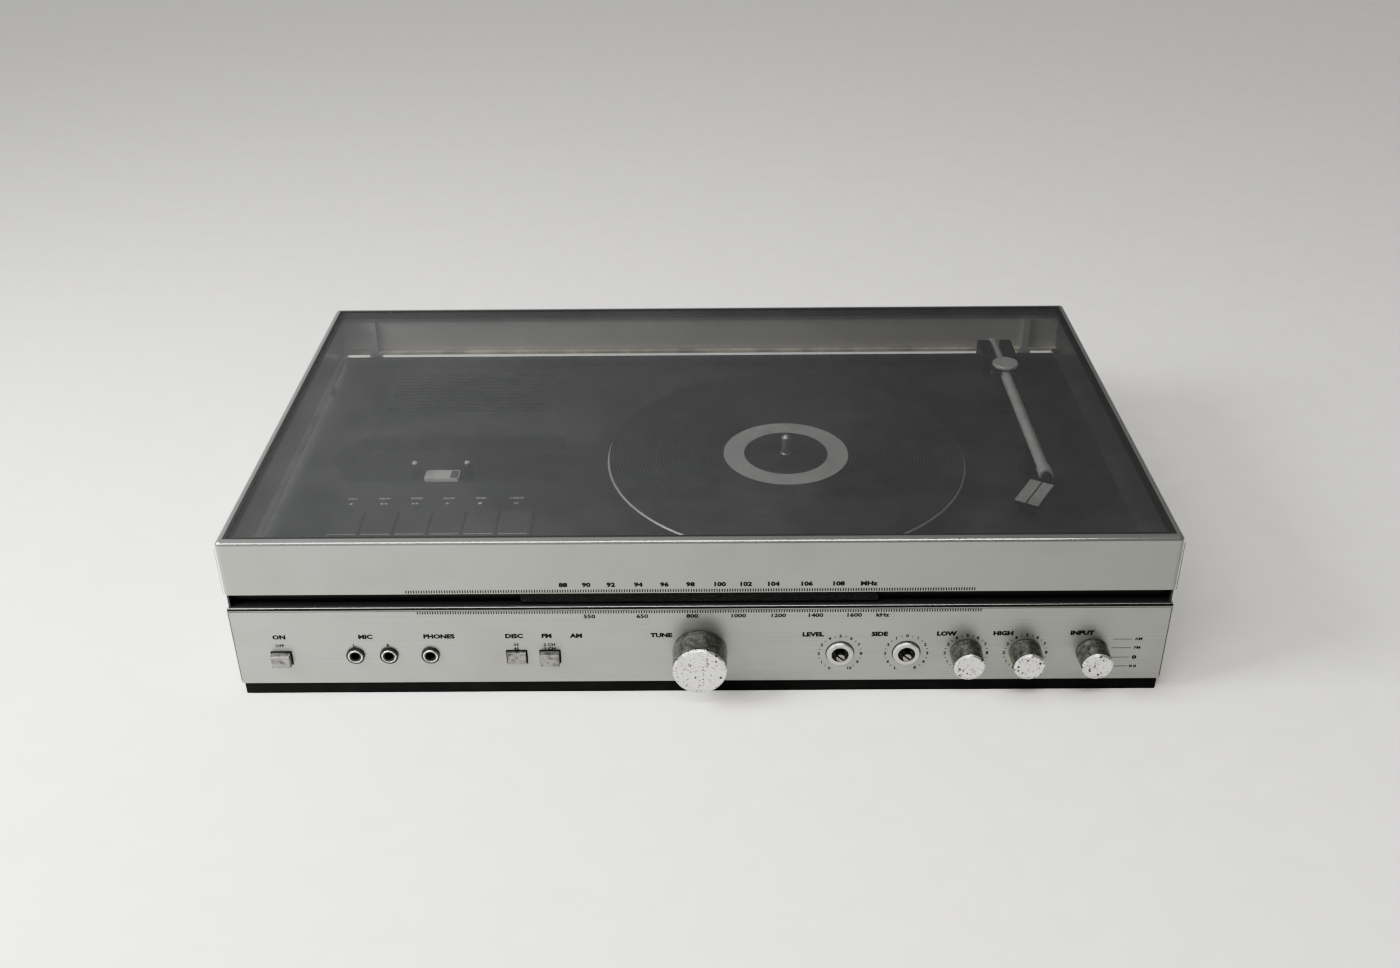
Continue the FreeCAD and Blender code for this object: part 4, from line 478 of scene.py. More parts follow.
class Palette:
    """Every finish of the object, by the name of what it covers."""

    silver = Finish("silver_paint", (0.32, 0.33, 0.315), (0.27, 0.28, 0.265), 0.75, (0.34, 0.44), 0.06, 0.00004,
        2400.0, (0.19, 0.185, 0.17), 0.3, 14.0)
    lid_silver = LitLedgeFinish("lid_paint", (0.285, 0.292, 0.276), (0.24, 0.247, 0.232), 0.75, (0.3, 0.4), 0.06, 0.00004,
        2400.0, (0.19, 0.185, 0.17), 0.3, 14.0)
    panel = BrushedFinish("brushed_panel", (0.315, 0.322, 0.305), (0.25, 0.257, 0.243), 0.8, (0.32, 0.44), 0.10,
        0.00003, soil=(0.20, 0.19, 0.175), soiled=0.3, soil_scale=16.0)
    plinth = Finish("plinth_plastic", (0.009, 0.009, 0.009), (0.005, 0.005, 0.005), 0.0, (0.5, 0.65), 0.15, 0.0001,
        1300.0, (0.03, 0.029, 0.027), 0.2, 45.0, shine=0.12)
    fitting = Finish("fitting_plastic", (0.024, 0.024, 0.025), (0.014, 0.014, 0.015), 0.0, (0.38, 0.55), 0.15, 0.0001,
        1500.0)
    deck = Finish("deck_grain", (0.044, 0.045, 0.047), (0.034, 0.035, 0.037), 0.0, (0.5, 0.66), 0.1, 0.00005, 2600.0,
        (0.10, 0.10, 0.098), 0.4, 9.0)
    well = Finish("well_plastic", (0.027, 0.028, 0.029), (0.02, 0.021, 0.022), 0.0, (0.5, 0.64), 0.08, 0.00004, 2600.0,
        (0.08, 0.08, 0.078), 0.3, 25.0)
    key = Finish("key_plastic", (0.044, 0.045, 0.047), (0.035, 0.036, 0.038), 0.0, (0.36, 0.5), 0.12, 0.00008, 1600.0,
        (0.13, 0.13, 0.125), 0.3, 35.0)
    pane = SmokedFinish("smoked_pane", (0.048, 0.049, 0.05), (0.034, 0.035, 0.036), 0.0, (0.05, 0.13), 0.0, 0.00001,
        60.0, (0.12, 0.12, 0.115), 0.25, 9.0, clear=0.58)
    window = SmokedFinish("dial_window", (0.012, 0.013, 0.013), (0.007, 0.008, 0.008), 0.0, (0.05, 0.14), 0.0, 0.00001,
        200.0, (0.03, 0.03, 0.029), 0.15, 40.0, shine=0.3, clear=0.3, bending=1.42)
    mat = Finish("mat_rubber", (0.036, 0.036, 0.037), (0.024, 0.024, 0.025), 0.0, (0.5, 0.68), 0.2, 0.0001, 1700.0,
        (0.11, 0.11, 0.105), 0.35, 18.0)
    rubber = Finish("black_rubber", (0.014, 0.014, 0.014), (0.008, 0.008, 0.008), 0.0, (0.65, 0.8), 0.2, 0.0001, 1100.0,
        shine=0.2)
    arm = BrushedFinish("arm_aluminium", (0.86, 0.86, 0.82), (0.76, 0.76, 0.72), 0.3, (0.42, 0.55), 0.08, 0.00003,
        lay=Lay.DEEP, soil=(0.5, 0.49, 0.45), soiled=0.35, soil_scale=60.0)
    cap = TurnedFinish("cap_aluminium", (0.86, 0.86, 0.83), (0.78, 0.78, 0.75), 0.3, (0.42, 0.55), 0.1, 0.00003, 5000.0,
        centre=(263.0, 112.0, 0.0))
    platter = PlatterFinish("platter_aluminium", (0.86, 0.86, 0.83), (0.72, 0.72, 0.69), 0.3, (0.36, 0.5), 0.2, 0.00004,
        3600.0, (0.42, 0.41, 0.38), 0.35, 55.0, centre=(69.0, -3.0, 0.0))
    steel = Finish("bright_steel", (0.70, 0.70, 0.69), (0.58, 0.58, 0.57), 1.0, (0.18, 0.32), 0.06, 0.00003, 1800.0,
        (0.28, 0.24, 0.19), 0.3, 120.0)
    # Steel darkened as painted shade, for the shafts deep in the collars' holes.
    shaft = Finish("shade_darkened_shaft", (0.34, 0.335, 0.32), (0.22, 0.215, 0.2), 1.0, (0.2, 0.34), 0.06, 0.00003, 1800.0,
        (0.08, 0.07, 0.055), 0.5, 260.0)
    collar = Finish("collar_plate", (0.46, 0.46, 0.44), (0.37, 0.37, 0.355), 0.85, (0.28, 0.4), 0.06, 0.00003, 1400.0,
        (0.24, 0.22, 0.18), 0.3, 180.0)
    zinc = Finish("zinc_plate", (0.60, 0.60, 0.57), (0.42, 0.42, 0.40), 0.9, (0.32, 0.5), 0.08, 0.00004, 160.0,
        (0.30, 0.28, 0.22), 0.4, 40.0)
    nickel = Finish("nickel_ring", (0.72, 0.71, 0.68), (0.60, 0.59, 0.56), 0.9, (0.2, 0.34), 0.05, 0.00003, 900.0,
        (0.26, 0.22, 0.17), 0.3, 160.0)
    # Near-black, as painted shade for the gap round each jack's bright rim.
    dark_nut = Finish("dark_nut", (0.045, 0.044, 0.042), (0.02, 0.02, 0.019), 0.7, (0.3, 0.45), 0.1, 0.00005, 900.0,
        (0.16, 0.14, 0.11), 0.25, 160.0)
    button = Finish("worn_button", (0.27, 0.27, 0.26), (0.17, 0.17, 0.163), 0.7, (0.3, 0.48), 0.1, 0.00005, 700.0,
        (0.05, 0.047, 0.04), 0.85, 230.0)
    patch = Finish("grey_patch", (0.20, 0.20, 0.19), (0.13, 0.13, 0.125), 0.0, (0.4, 0.55), 0.1, 0.00005, 700.0,
        (0.40, 0.38, 0.34), 0.4, 150.0)
    lamination = BrushedFinish("core_lamination", (0.20, 0.18, 0.16), (0.09, 0.08, 0.07), 0.6, (0.45, 0.65), 0.3,
        0.0002, soil=(0.16, 0.09, 0.05), soiled=0.5, soil_scale=50.0)
    laminate = Finish("board_laminate", (0.30, 0.19, 0.09), (0.22, 0.13, 0.055), 0.0, (0.35, 0.5), 0.1, 0.00005, 420.0,
        (0.05, 0.14, 0.05), 0.3, 60.0)
    lamp = Finish("lamp_plastic", (0.90, 0.89, 0.84), (0.80, 0.79, 0.74), 0.0, (0.3, 0.45), 0.1, 0.00006, 500.0,
        (0.55, 0.52, 0.45), 0.35, 140.0)
    brass = Finish("turned_brass", (0.66, 0.52, 0.26), (0.52, 0.40, 0.18), 1.0, (0.25, 0.4), 0.08, 0.00004, 900.0,
        (0.20, 0.13, 0.06), 0.3, 150.0)
    weight = Finish("weight_coating", (0.028, 0.028, 0.029), (0.016, 0.016, 0.017), 0.2, (0.36, 0.5), 0.2, 0.0001,
        1200.0)
    pointer = Finish("pointer_plastic", (0.46, 0.07, 0.035), (0.32, 0.045, 0.02), 0.0, (0.25, 0.4), 0.05, 0.00003,
        600.0)
    # Black for print, and for lines, discs and slots painted as shade in gaps, holes and recesses.
    print_and_shade = Finish("dark_print_and_shade", (0.008, 0.008, 0.008), (0.004, 0.004, 0.004), 0.0, (0.6, 0.75), 0.05, 0.00002, 2500.0,
        shine=0.15)
    # Pale for the print on the deck, and for highlights painted along the keys' edges.
    pale_mark_and_highlight = Finish("pale_print_and_highlight", (0.86, 0.86, 0.84), (0.74, 0.74, 0.72), 0.0, (0.45, 0.6), 0.05, 0.00002, 2500.0,
        (0.45, 0.45, 0.44), 0.25, 220.0)

    floor = Finish("floor_paint", (0.80, 0.785, 0.75), (0.76, 0.745, 0.71), 0.0, (0.55, 0.7), 0.02, 0.00005, 40.0)

    @staticmethod
    def knob(name: str, x: float, z: float, face: float = -205.3) -> PittedFinish:
        """Give the pitted plating of one knob, from the place of its axis and its front face in millimetres."""
        return PittedFinish(name, (0.64, 0.64, 0.63), (0.52, 0.52, 0.51), 0.9, (0.16, 0.3), 0.06, 0.00003, 2600.0,
        (0.42, 0.41, 0.36), 0.4, 110.0, centre=(x, 0.0, z), spin=Spin.OUT, face=face)


@dataclass(frozen=True)
class Print:
    """A size of print: the height of a capital in millimetres, its stretch and the growth of its strokes."""

    height: float
    wide: float = 1.0
    bold: float = 0.03


class Bench:
    """Modelling by hand: primitives shaped in edit mode, with everything else deselected first."""

    @staticmethod
    def clear() -> None:
        """Leave edit mode and deselect everything."""
        if bpy.context.object and bpy.context.object.mode != "OBJECT":
            bpy.ops.object.mode_set(mode="OBJECT")
        bpy.ops.object.select_all(action="DESELECT")

    @classmethod
    def pick(cls, piece: Piece) -> None:
        """Make a piece the active one and the only one selected.

        Args:
            piece: The piece.
        """
        cls.clear()
        piece.select_set(True)
        bpy.context.view_layer.objects.active = piece

    @staticmethod
    def settle() -> Piece:
        """Keep the active object's place in its mesh, and give the object."""
        bpy.ops.object.transform_apply(location=True, rotation=True, scale=True)
        return bpy.context.object

    @staticmethod
    def edit() -> None:
        """Enter edit mode with everything selected."""
        bpy.ops.object.mode_set(mode="EDIT")
        bpy.ops.mesh.select_all(action="SELECT")

    @staticmethod
    def close() -> None:
        """Turn every face outward and leave edit mode."""
        bpy.ops.mesh.select_all(action="SELECT")
        bpy.ops.mesh.normals_make_consistent(inside=False)
        bpy.ops.object.mode_set(mode="OBJECT")

    @staticmethod
    def soften(piece: Piece, rule: Callable[[bmesh.types.BMEdge], bool], width: float) -> None:
        """Round the edges that a rule names.

        Args:
            piece: The active object.
            rule: Says of each edge whether it is wanted.
            width: How far the rounding reaches, in millimetres.
        """
        bpy.ops.object.mode_set(mode="EDIT")
        bpy.ops.mesh.select_mode(type="EDGE")
        bpy.ops.mesh.select_all(action="DESELECT")
        mesh = bmesh.from_edit_mesh(piece.data)
        for edge in mesh.edges:
            edge.select_set(rule(edge))
        bmesh.update_edit_mesh(piece.data)
        bpy.ops.mesh.bevel(offset=width * MM, segments=3, affect="EDGES")
        bpy.ops.object.mode_set(mode="OBJECT")
        bpy.ops.object.shade_smooth_by_angle(angle=SMOOTH_ANGLE)

    @classmethod
    def block(cls, low: Point, high: Point, edge: float = 0.0) -> Piece:
        """Make a block between two corners, with its edges broken.

        Args:
            low: Its lowest corner, in millimetres.
            high: Its highest corner.
            edge: The width of the broken edges.

        Returns:
            The block.
        """
        cls.clear()
        first, last = metres(*low), metres(*high)
        bpy.ops.mesh.primitive_cube_add(size=1.0, location=(first + last) / 2, scale=last - first)
        piece = cls.settle()
        if edge > 0.0:
            cls.edit()
            bpy.ops.mesh.bevel(offset=edge * MM, segments=2, affect="EDGES")
            bpy.ops.object.mode_set(mode="OBJECT")
        return piece

    @classmethod
    def trace(cls, path: Sequence[Point]) -> Piece:
        """Draw a chain of points and stay in edit mode with all of it selected.

        Args:
            path: The points, in millimetres.

        Returns:
            The object, in edit mode.
        """
        cls.clear()
        bpy.ops.mesh.primitive_plane_add(size=MM, location=metres(*path[0]))
        piece = cls.settle()
        bpy.ops.object.mode_set(mode="EDIT")
        bpy.ops.mesh.select_mode(type="VERT")
        bpy.ops.mesh.select_all(action="SELECT")
        bpy.ops.mesh.merge(type="CENTER")
        for here, there in zip(path, path[1:]):
            step = metres(*there) - metres(*here)
            bpy.ops.mesh.extrude_vertices_move(TRANSFORM_OT_translate={"value": step})
        bpy.ops.mesh.select_all(action="SELECT")
        return piece

    @classmethod
    def lathe(cls, profile: Sequence[Span], steps: int = 48) -> Piece:
        """Turn a profile round the Z axis.

        Args:
            profile: Radius and height of each point, in millimetres.
            steps: Sides of the turned shape.

        Returns:
            The turned piece, about the origin.
        """
        piece = cls.trace([(radius, 0.0, height) for radius, height in profile])
        bpy.ops.mesh.spin(steps=steps, angle=2.0 * math.pi, center=(0.0, 0.0, 0.0), axis=(0.0, 0.0, 1.0))
        bpy.ops.mesh.select_all(action="SELECT")
        bpy.ops.mesh.remove_doubles(threshold=MERGE_GAP)
        cls.close()
        bpy.ops.object.shade_smooth_by_angle(angle=SMOOTH_ANGLE)
        return piece

    @classmethod
    def washer(cls, inner: float, outer: float, thick: float = MARK_THICK, steps: int = 48) -> Piece:
        """Turn a flat ring about the origin, or a disc where the inner radius is nought, in millimetres."""
        profile = [(inner, 0.0), (outer, 0.0), (outer, thick), (inner, thick)]
        return cls.lathe(profile + profile[:1] if inner else profile, steps)

    @classmethod
    def plate(cls, outline: Sequence[Span], thick: float) -> Piece:
        """Cut a flat plate to an outline.

        Args:
            outline: Corners in the drawing's plane, in millimetres.
            thick: The plate's thickness.

        Returns:
            The plate, lying on the origin's plane.
        """
        piece = cls.trace([(x, y, 0.0) for x, y in outline])
        bpy.ops.mesh.edge_face_add()
        bpy.ops.mesh.extrude_region_move(TRANSFORM_OT_translate={"value": (0.0, 0.0, thick * MM)})
        cls.close()
        return piece

    @classmethod
    def surround(cls, low: Point, high: Point, width: float) -> Piece:
        """Make a flat four-sided frame.

        Args:
            low: Lowest outer corner, in millimetres.
            high: Highest outer corner; its height gives the thickness.
            width: Width of the frame's sides.

        Returns:
            The frame.
        """
        cls.clear()
        first, size = metres(*low), metres(*high) - metres(*low)
        bpy.ops.mesh.primitive_plane_add(size=1.0, location=(first.x + size.x / 2, first.y + size.y / 2, first.z))
        bpy.context.object.scale = (size.x, size.y, 1.0)
        piece = cls.settle()
        cls.edit()
        bpy.ops.mesh.inset(thickness=width * MM)
        bpy.ops.mesh.delete(type="FACE")
        bpy.ops.mesh.select_all(action="SELECT")
        bpy.ops.mesh.extrude_region_move(TRANSFORM_OT_translate={"value": (0.0, 0.0, size.z)})
        cls.close()
        return piece

    @classmethod
    def put(cls, piece: Piece, spot: Point, turn: Matrix = STRAIGHT) -> Piece:
        """Turn a piece about the origin, move it and keep its place in the mesh.

        Args:
            piece: The piece.
            spot: Where its origin goes, in millimetres.
            turn: The turn.

        Returns:
            The same piece.
        """
        cls.pick(piece)
        piece.matrix_world = Matrix.Translation(metres(*spot)) @ turn
        return cls.settle()

    @classmethod
    def place(cls, piece: Piece, spots: Sequence[Point], turns: Sequence[Matrix] = (STRAIGHT,)) -> List[Piece]:
        """Set a piece and its copies, each with a mesh of its own.

        Args:
            piece: The piece, about the origin.
            spots: Where the origin goes each time, in millimetres.
            turns: The turn about it each time, or one turn for all.

        Returns:
            The pieces.
        """
        copies = [piece]
        for _ in spots[1:]:
            cls.pick(piece)
            bpy.ops.object.duplicate(linked=False)
            copies.append(bpy.context.object)
        turns = turns if len(turns) > 1 else list(turns) * len(spots)
        return [cls.put(*move) for move in zip(copies, spots, turns)]

    @classmethod
    def join(cls, pieces: Sequence[Piece]) -> Piece:
        """Join pieces into one.

        Args:
            pieces: The pieces, one at least.

        Returns:
            The joined piece.
        """
        cls.pick(pieces[0])
        for piece in pieces[1:]:
            piece.select_set(True)
        if len(pieces) > 1:
            bpy.ops.object.join()
        return cls.settle()

    @classmethod
    def repeat(cls, piece: Piece, count: int, step: Point) -> Piece:
        """Repeat a piece in a row and make the row real.

        Args:
            piece: The piece.
            count: How many stand in the row.
            step: From one to the next, in millimetres.

        Returns:
            The row.
        """
        cls.pick(piece)
        row = piece.modifiers.new("row", "ARRAY")
        row.use_relative_offset = False
        row.use_constant_offset = True
        row.constant_offset_displace = metres(*step)
        row.count = count
        bpy.ops.object.modifier_apply(modifier=row.name)
        return piece

    @classmethod
    def letter(cls, words: str, style: Print, spot: Point, facing: Facing = Facing.FRONT) -> Piece:
        """Print words on a face.

        Args:
            words: What is printed.
            style: The size of the print.
            spot: The middle of the words, in millimetres.
            facing: The side that they are read from.

        Returns:
            The print, a thin mesh.
        """
        cls.clear()
        bpy.ops.object.text_add(location=(0.0, 0.0, 0.0))
        data = bpy.context.object.data
        data.body = words
        data.size = style.height / CAPITAL_SHARE * MM
        data.align_x = data.align_y = "CENTER"
        data.resolution_u = 2
        data.extrude = PRINT_THICK * MM
        data.offset = style.bold * style.height * MM
        bpy.ops.object.convert(target="MESH")
        stretch = Matrix.Diagonal((style.wide, 1.0, 1.0, 1.0))
        return cls.put(cls.settle(), spot, facing.turn() @ stretch)


@dataclass
class SubAssembly:
    """A group of pieces that belong together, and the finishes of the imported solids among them."""

    finishes: ClassVar[Dict[str, Finish]] = {}

    def build(self) -> None:
        """Make the group's own pieces."""

    def keep(self, name: str, pieces: Sequence[Piece], body: str, finish: Finish,
             slot: Optional[str] = None) -> Piece:
        """Make one piece of several, finish it and let it ride on its body.

        Args:
            name: The piece's name.
            pieces: What it is made of.
            body: The body that carries it.
            finish: Its finish.
            slot: The record's material slot; not used.

        Returns:
            The piece.
        """
        piece = Bench.join(pieces)
        piece.name = piece.data.name = name
        piece.data.materials.clear()
        piece.data.materials.append(finish.material())
        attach(piece, body)
        LOG.info("%s: %s on %s", type(self).__name__, piece.name, body)
        return piece

    def dress(self) -> None:
        """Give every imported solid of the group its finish."""
        for name, finish in self.finishes.items():
            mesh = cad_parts[name].data
            for index in range(len(mesh.materials)):
                mesh.materials[index] = finish.material()
            LOG.info("%s: %s wears %s", type(self).__name__, name, finish.name)


@dataclass(frozen=True)
class Lamp:
    """A soft lamp: place and aim in millimetres, width and height in metres, power in watts."""

    name: str
    spot: Point
    aim: Point
    size: Span
    power: float

    def hang(self) -> None:
        """Hang the lamp."""
        Bench.clear()
        bpy.ops.object.light_add(type="AREA", location=metres(*self.spot))
        light = bpy.context.object
        light.name = self.name
        light.data.shape = "RECTANGLE"
        light.data.size, light.data.size_y = self.size
        light.data.energy = self.power
        light.rotation_euler = (metres(*self.aim) - metres(*self.spot)).to_track_quat("-Z", "Y").to_euler()


@dataclass
class Stage:
    """Floor, light and camera."""

    floor_side: float = 12.0
    bright_side: Colour = (1.25, 1.26, 1.27)
    dim_side: Colour = (0.46, 0.455, 0.45)
    side_places: Span = (0.30, 0.58)
    room_strength: float = 0.55
    lamps: Tuple[Lamp, ...] = (
        Lamp("key_light", (-1050.0, -450.0, 850.0), (-120.0, -150.0, 40.0), (0.6, 0.6), 25.0),
        Lamp("edge_light", (-200.0, -1050.0, 1450.0), (-200.0, -187.0, 128.0), (1.7, 0.15), 17.0))
    lens: float = 37.24
    sensor: float = 36.0
    eye: Point = (5.2, -1009.9, 664.8)
    tilt: float = 59.24
    pan: float = 0.28
    roll: float = -0.5

    def floor(self) -> None:
        """Lay a plain pale floor."""
        Bench.clear()
        bpy.ops.mesh.primitive_plane_add(size=self.floor_side, location=(0.0, 0.0, 0.0))
        ground = Bench.settle()
        ground.name = ground.data.name = "floor"
        ground.data.materials.append(Palette.floor.material())

    def world(self) -> None:
        """Fill the room with soft light that is brighter on the left."""
        sky = bpy.data.worlds.new("soft_room")
        sky.use_nodes = True
        nodes = Nodes(sky.node_tree)
        across = nodes.wire("SeparateXYZ", "X", {"Vector": nodes.wire("TexCoord", "Generated", {})})
        share = nodes.wire("MapRange", "Result", {"Value": across, "From Min": -1.0})
        shade = nodes.ramp(share, self.side_places, (self.bright_side, self.dim_side))
        light = sky.node_tree.nodes["Background"].inputs
        light["Strength"].default_value = self.room_strength
        sky.node_tree.links.new(shade, light["Color"])
        bpy.context.scene.world = sky

    def camera(self) -> None:
        """Set the camera at the angle of the photograph."""
        Bench.clear()
        bpy.ops.object.camera_add(location=metres(*self.eye))
        view = bpy.context.object
        view.name = "photo_view"
        view.data.lens = self.lens
        view.data.sensor_width = self.sensor
        view.data.sensor_fit = "HORIZONTAL"
        pan = Matrix.Rotation(math.radians(self.pan), 4, "Z")
        tilt = Matrix.Rotation(math.radians(self.tilt), 4, "X")
        roll = Matrix.Rotation(math.radians(self.roll), 4, "Z")
        view.matrix_world = Matrix.Translation(metres(*self.eye)) @ pan @ tilt @ roll
        bpy.context.scene.camera = view

    def build(self) -> None:
        """Set up everything that isn't the object."""
        self.floor()
        self.world()
        for lamp in self.lamps:
            lamp.hang()
        self.camera()
        bpy.context.scene.view_settings.look = "AgX - High Contrast"


@dataclass
class Cabinet(SubAssembly):
    """Shell, plinth, deck and what is fixed to them."""

    finishes: ClassVar[Dict[str, Finish]] = {
        "cabinet_shell": Palette.silver, "front_panel": Palette.panel, "base_tray": Palette.plinth,
        "feet": Palette.rubber, "lid_buffers": Palette.rubber, "deck_plate": Palette.deck,
        "vent_grille": Palette.deck, "socket_panel": Palette.fitting, "cable_gland": Palette.fitting,
        "hinge_brackets": Palette.steel}
    front: float = -187.0
    rear: float = 203.0
    half_width: float = 330.0
    line_y: Span = (-187.03, -186.98)
    end_line: Span = (0.5, 0.95)
    end_line_z: Span = (13.0, 72.6)
    edge_section: Profile = ((0.0, 73.9), (0.0, 74.5), (0.8, 75.3), (0.78, 75.33), (-0.03, 74.52), (-0.03, 73.9))
    edge_inset: float = 0.2
    skirt_inset: float = 1.3
    skirt_thick: float = 2.1
    skirt_z: Span = (0.4, 10.3)
    skirt_round: float = 1.2
    rail_half: float = 326.0
    rail_y: Span = (188.0, 193.5)
    rail_top: float = 86.7
    rail_edge: float = 0.8
    socket_face: float = 200.5
    socket_z: float = 41.5
    socket_places: Row = (-103.0, -61.0, -19.0, 23.0)
    ring_profile: Profile = ((6.75, 1.2), (8.1, 1.2), (8.1, 1.5), (7.7, 1.8), (6.95, 1.8), (6.75, 1.6), (6.75, 1.2))
    insert_profile: Profile = ((0.0, 0.0), (6.7, 0.0), (6.7, 0.25), (6.5, 0.35), (0.0, 0.35))
    hole_radius: float = 0.85
    hole_circle: float = 4.2
    hole_out: float = 0.34
    hole_angles: Row = (-90.0, -45.0, 0.0, 45.0, 90.0)
    head_profile: Profile = ((0.0, 0.0), (3.2, 0.0), (3.1, 0.6), (2.4, 1.1), (1.2, 1.35), (0.0, 1.4))
    slot_half: Span = (1.9, 0.25)
    slot_y: Span = (1.1, 1.43)
    slot_edge: float = 0.05
    screw_places: Tuple[Span, ...] = (
        (-306.0, 24.0), (-306.0, 62.0), (130.0, 24.0), (130.0, 62.0), (306.0, 24.0), (306.0, 62.0), (-190.0, 24.0),
        (-190.0, 62.0))

    def build(self) -> None:
        """Make the panel's dark edge lines, the skirt round the tray, the deck's rail and the rear fittings."""
        self.outline()
        self.skirt()
        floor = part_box("deck_plate")[1][2] / MM
        near, far = self.rail_y
        low, high = (-self.rail_half, near, floor - SLACK), (self.rail_half, far, self.rail_top)
        rail = Bench.block(low, high, self.rail_edge)
        self.keep("deck_rail", [rail], "chassis", Palette.deck, "deck_finish")
        self.rear_sockets()
        self.rear_screws()

    def outline(self) -> None:
        """Lay a thin dark line of painted shade along the panel's upper edge, with its bevel, and thin dark lines along
        its ends.
        """
        # The upper edge line is painted shade, for the shadow gap under the panel's bright top edge.
        section = [(self.front + out, z) for out, z in self.edge_section]
        top = Bench.plate(section, 2.0 * (self.half_width - self.edge_inset))
        along = Matrix(((0.0, 0.0, 1.0, 0.0), (1.0, 0.0, 0.0, 0.0), (0.0, 1.0, 0.0, 0.0), (0.0, 0.0, 0.0, 1.0)))
        Bench.put(top, (self.edge_inset - self.half_width, 0.0, 0.0), along)
        (out, back), (low, high), (left, right) = self.line_y, self.end_line_z, self.end_line
        end = Bench.block((left, out, low), (right, back, high))
        ends = Bench.place(end, [(-self.half_width, 0.0, 0.0), (self.half_width - left - right, 0.0, 0.0)])
        self.keep("panel_outline", [top, *ends], "chassis", Palette.print_and_shade)

    def skirt(self) -> None:
        """Make the skirt round the tray, with rounded corners."""
        side, (low, high) = self.half_width - self.skirt_inset, self.skirt_z
        first = (-side, self.front + self.skirt_inset, low)
        skirt = Bench.surround(first, (side, self.rear - self.skirt_inset, high), self.skirt_thick)
        far = (side - SLACK) * MM
        Bench.soften(skirt, lambda edge: all(abs(v.co.x) > far for v in edge.verts)
                     and abs(edge.verts[0].co.z - edge.verts[1].co.z) > MM, self.skirt_round)
        self.keep("plinth_skirt", [skirt], "chassis", Palette.plinth, "black_plastic")

    def rear_sockets(self) -> None:
        """Make the rings, the inserts and the holes of the rear sockets, the holes as black discs of painted shade."""
        turn = [Facing.REAR.turn()]
        spots = [(x, self.socket_face, self.socket_z) for x in self.socket_places]
        rings = Bench.place(Bench.lathe(self.ring_profile), spots, turn)
        self.keep("socket_rings", rings, "chassis", Palette.nickel, "nickel")
        inserts = Bench.place(Bench.lathe(self.insert_profile, steps=40), spots, turn)
        self.keep("socket_inserts", inserts, "chassis", Palette.laminate)
        middles = [(x, y + self.hole_out, z) for x, y, z in spots]
        spots = [around(middle, self.hole_circle, angle) for middle in middles for angle in self.hole_angles]
        # Black discs of painted shade stand for the socket holes, which are not cut.
        holes = Bench.place(Bench.washer(0.0, self.hole_radius, steps=12), spots, turn)
        self.keep("socket_holes", holes + self.slots(), "chassis", Palette.print_and_shade)

    def slots(self) -> List[Piece]:
        """Make the crossed slots of the rear screws, as dark blocks of painted shade.

        Returns:
            The slots.
        """
        spots = [(x, self.rear, z) for x, z in self.screw_places]
        slots, (low, high) = [], self.slot_y
        for wide, tall in (self.slot_half, self.slot_half[::-1]):
            # Dark blocks of painted shade stand for the slots, which are not cut.
            slot = Bench.block((-wide, low, -tall), (wide, high, tall), self.slot_edge)
            slots += Bench.place(slot, spots)
        return slots

    def rear_screws(self) -> None:
        """Make the heads of the rear screws."""
        spots = [(x, self.rear, z) for x, z in self.screw_places]
        heads = Bench.place(Bench.lathe(self.head_profile, steps=28), spots, [Facing.REAR.turn()])
        self.keep("rear_screws", heads, "chassis", Palette.steel, "bright_steel")


@dataclass(frozen=True)
class Band:
    """One half of the tuning scale: a row of ticks and a row of figures, in millimetres."""

    name: str
    body: str
    ticks_x: Span
    ticks_z: Span
    style: Print
    figures_z: float
    figures: Marks


@dataclass
class Dial(SubAssembly):
    """The long tuning scale, half on the lid and half on the panel, with its pointer."""

    finishes: ClassVar[Dict[str, Finish]] = {
        "dial_trough": Palette.fitting, "dial_window": Palette.window, "dial_pointer": Palette.pointer}
    front: float = -187.02
    tick_step: float = 1.78
    tick_half: float = 0.4
    bands: Tuple[Band, ...] = (
        Band("upper_dial", "lid", (-203.0, 191.0), (88.2, 90.7), Print(3.3, 1.25, 0.075), 94.4, (
            ("88", -94.0), ("90", -78.0), ("92", -61.0), ("94", -42.0), ("96", -24.0), ("98", -6.0), ("100", 14.0),
            ("102", 32.0), ("104", 51.0), ("106", 74.0), ("108", 96.0), ("MHz", 117.0))),
        Band("lower_dial", "chassis", (-197.0, 197.0), (70.3, 72.5), Print(3.0, 1.3, 0.05), 67.6, (
            ("550", -77.0), ("650", -40.0), ("800", -5.0), ("1000", 27.0), ("1200", 55.0), ("1400", 81.0),
            ("1600", 108.0), ("kHz", 128.0))))

    def build(self) -> None:
        """Print both halves of the scale."""
        half, out, back = self.tick_half, self.front - PRINT_THICK, self.front + PRINT_THICK
        for band in self.bands:
            (start, end), (low, high) = band.ticks_x, band.ticks_z
            tick = Bench.block((start - half, out, low), (start + half, back, high))
            row = Bench.repeat(tick, int((end - start) / self.tick_step) + 1, (self.tick_step, 0.0, 0.0))
            self.keep(band.name + "_ticks", [row], band.body, Palette.print_and_shade)
            prints = [Bench.letter(words, band.style, (x, self.front, band.figures_z)) for words, x in band.figures]
            self.keep(band.name + "_figures", prints, band.body, Palette.print_and_shade)


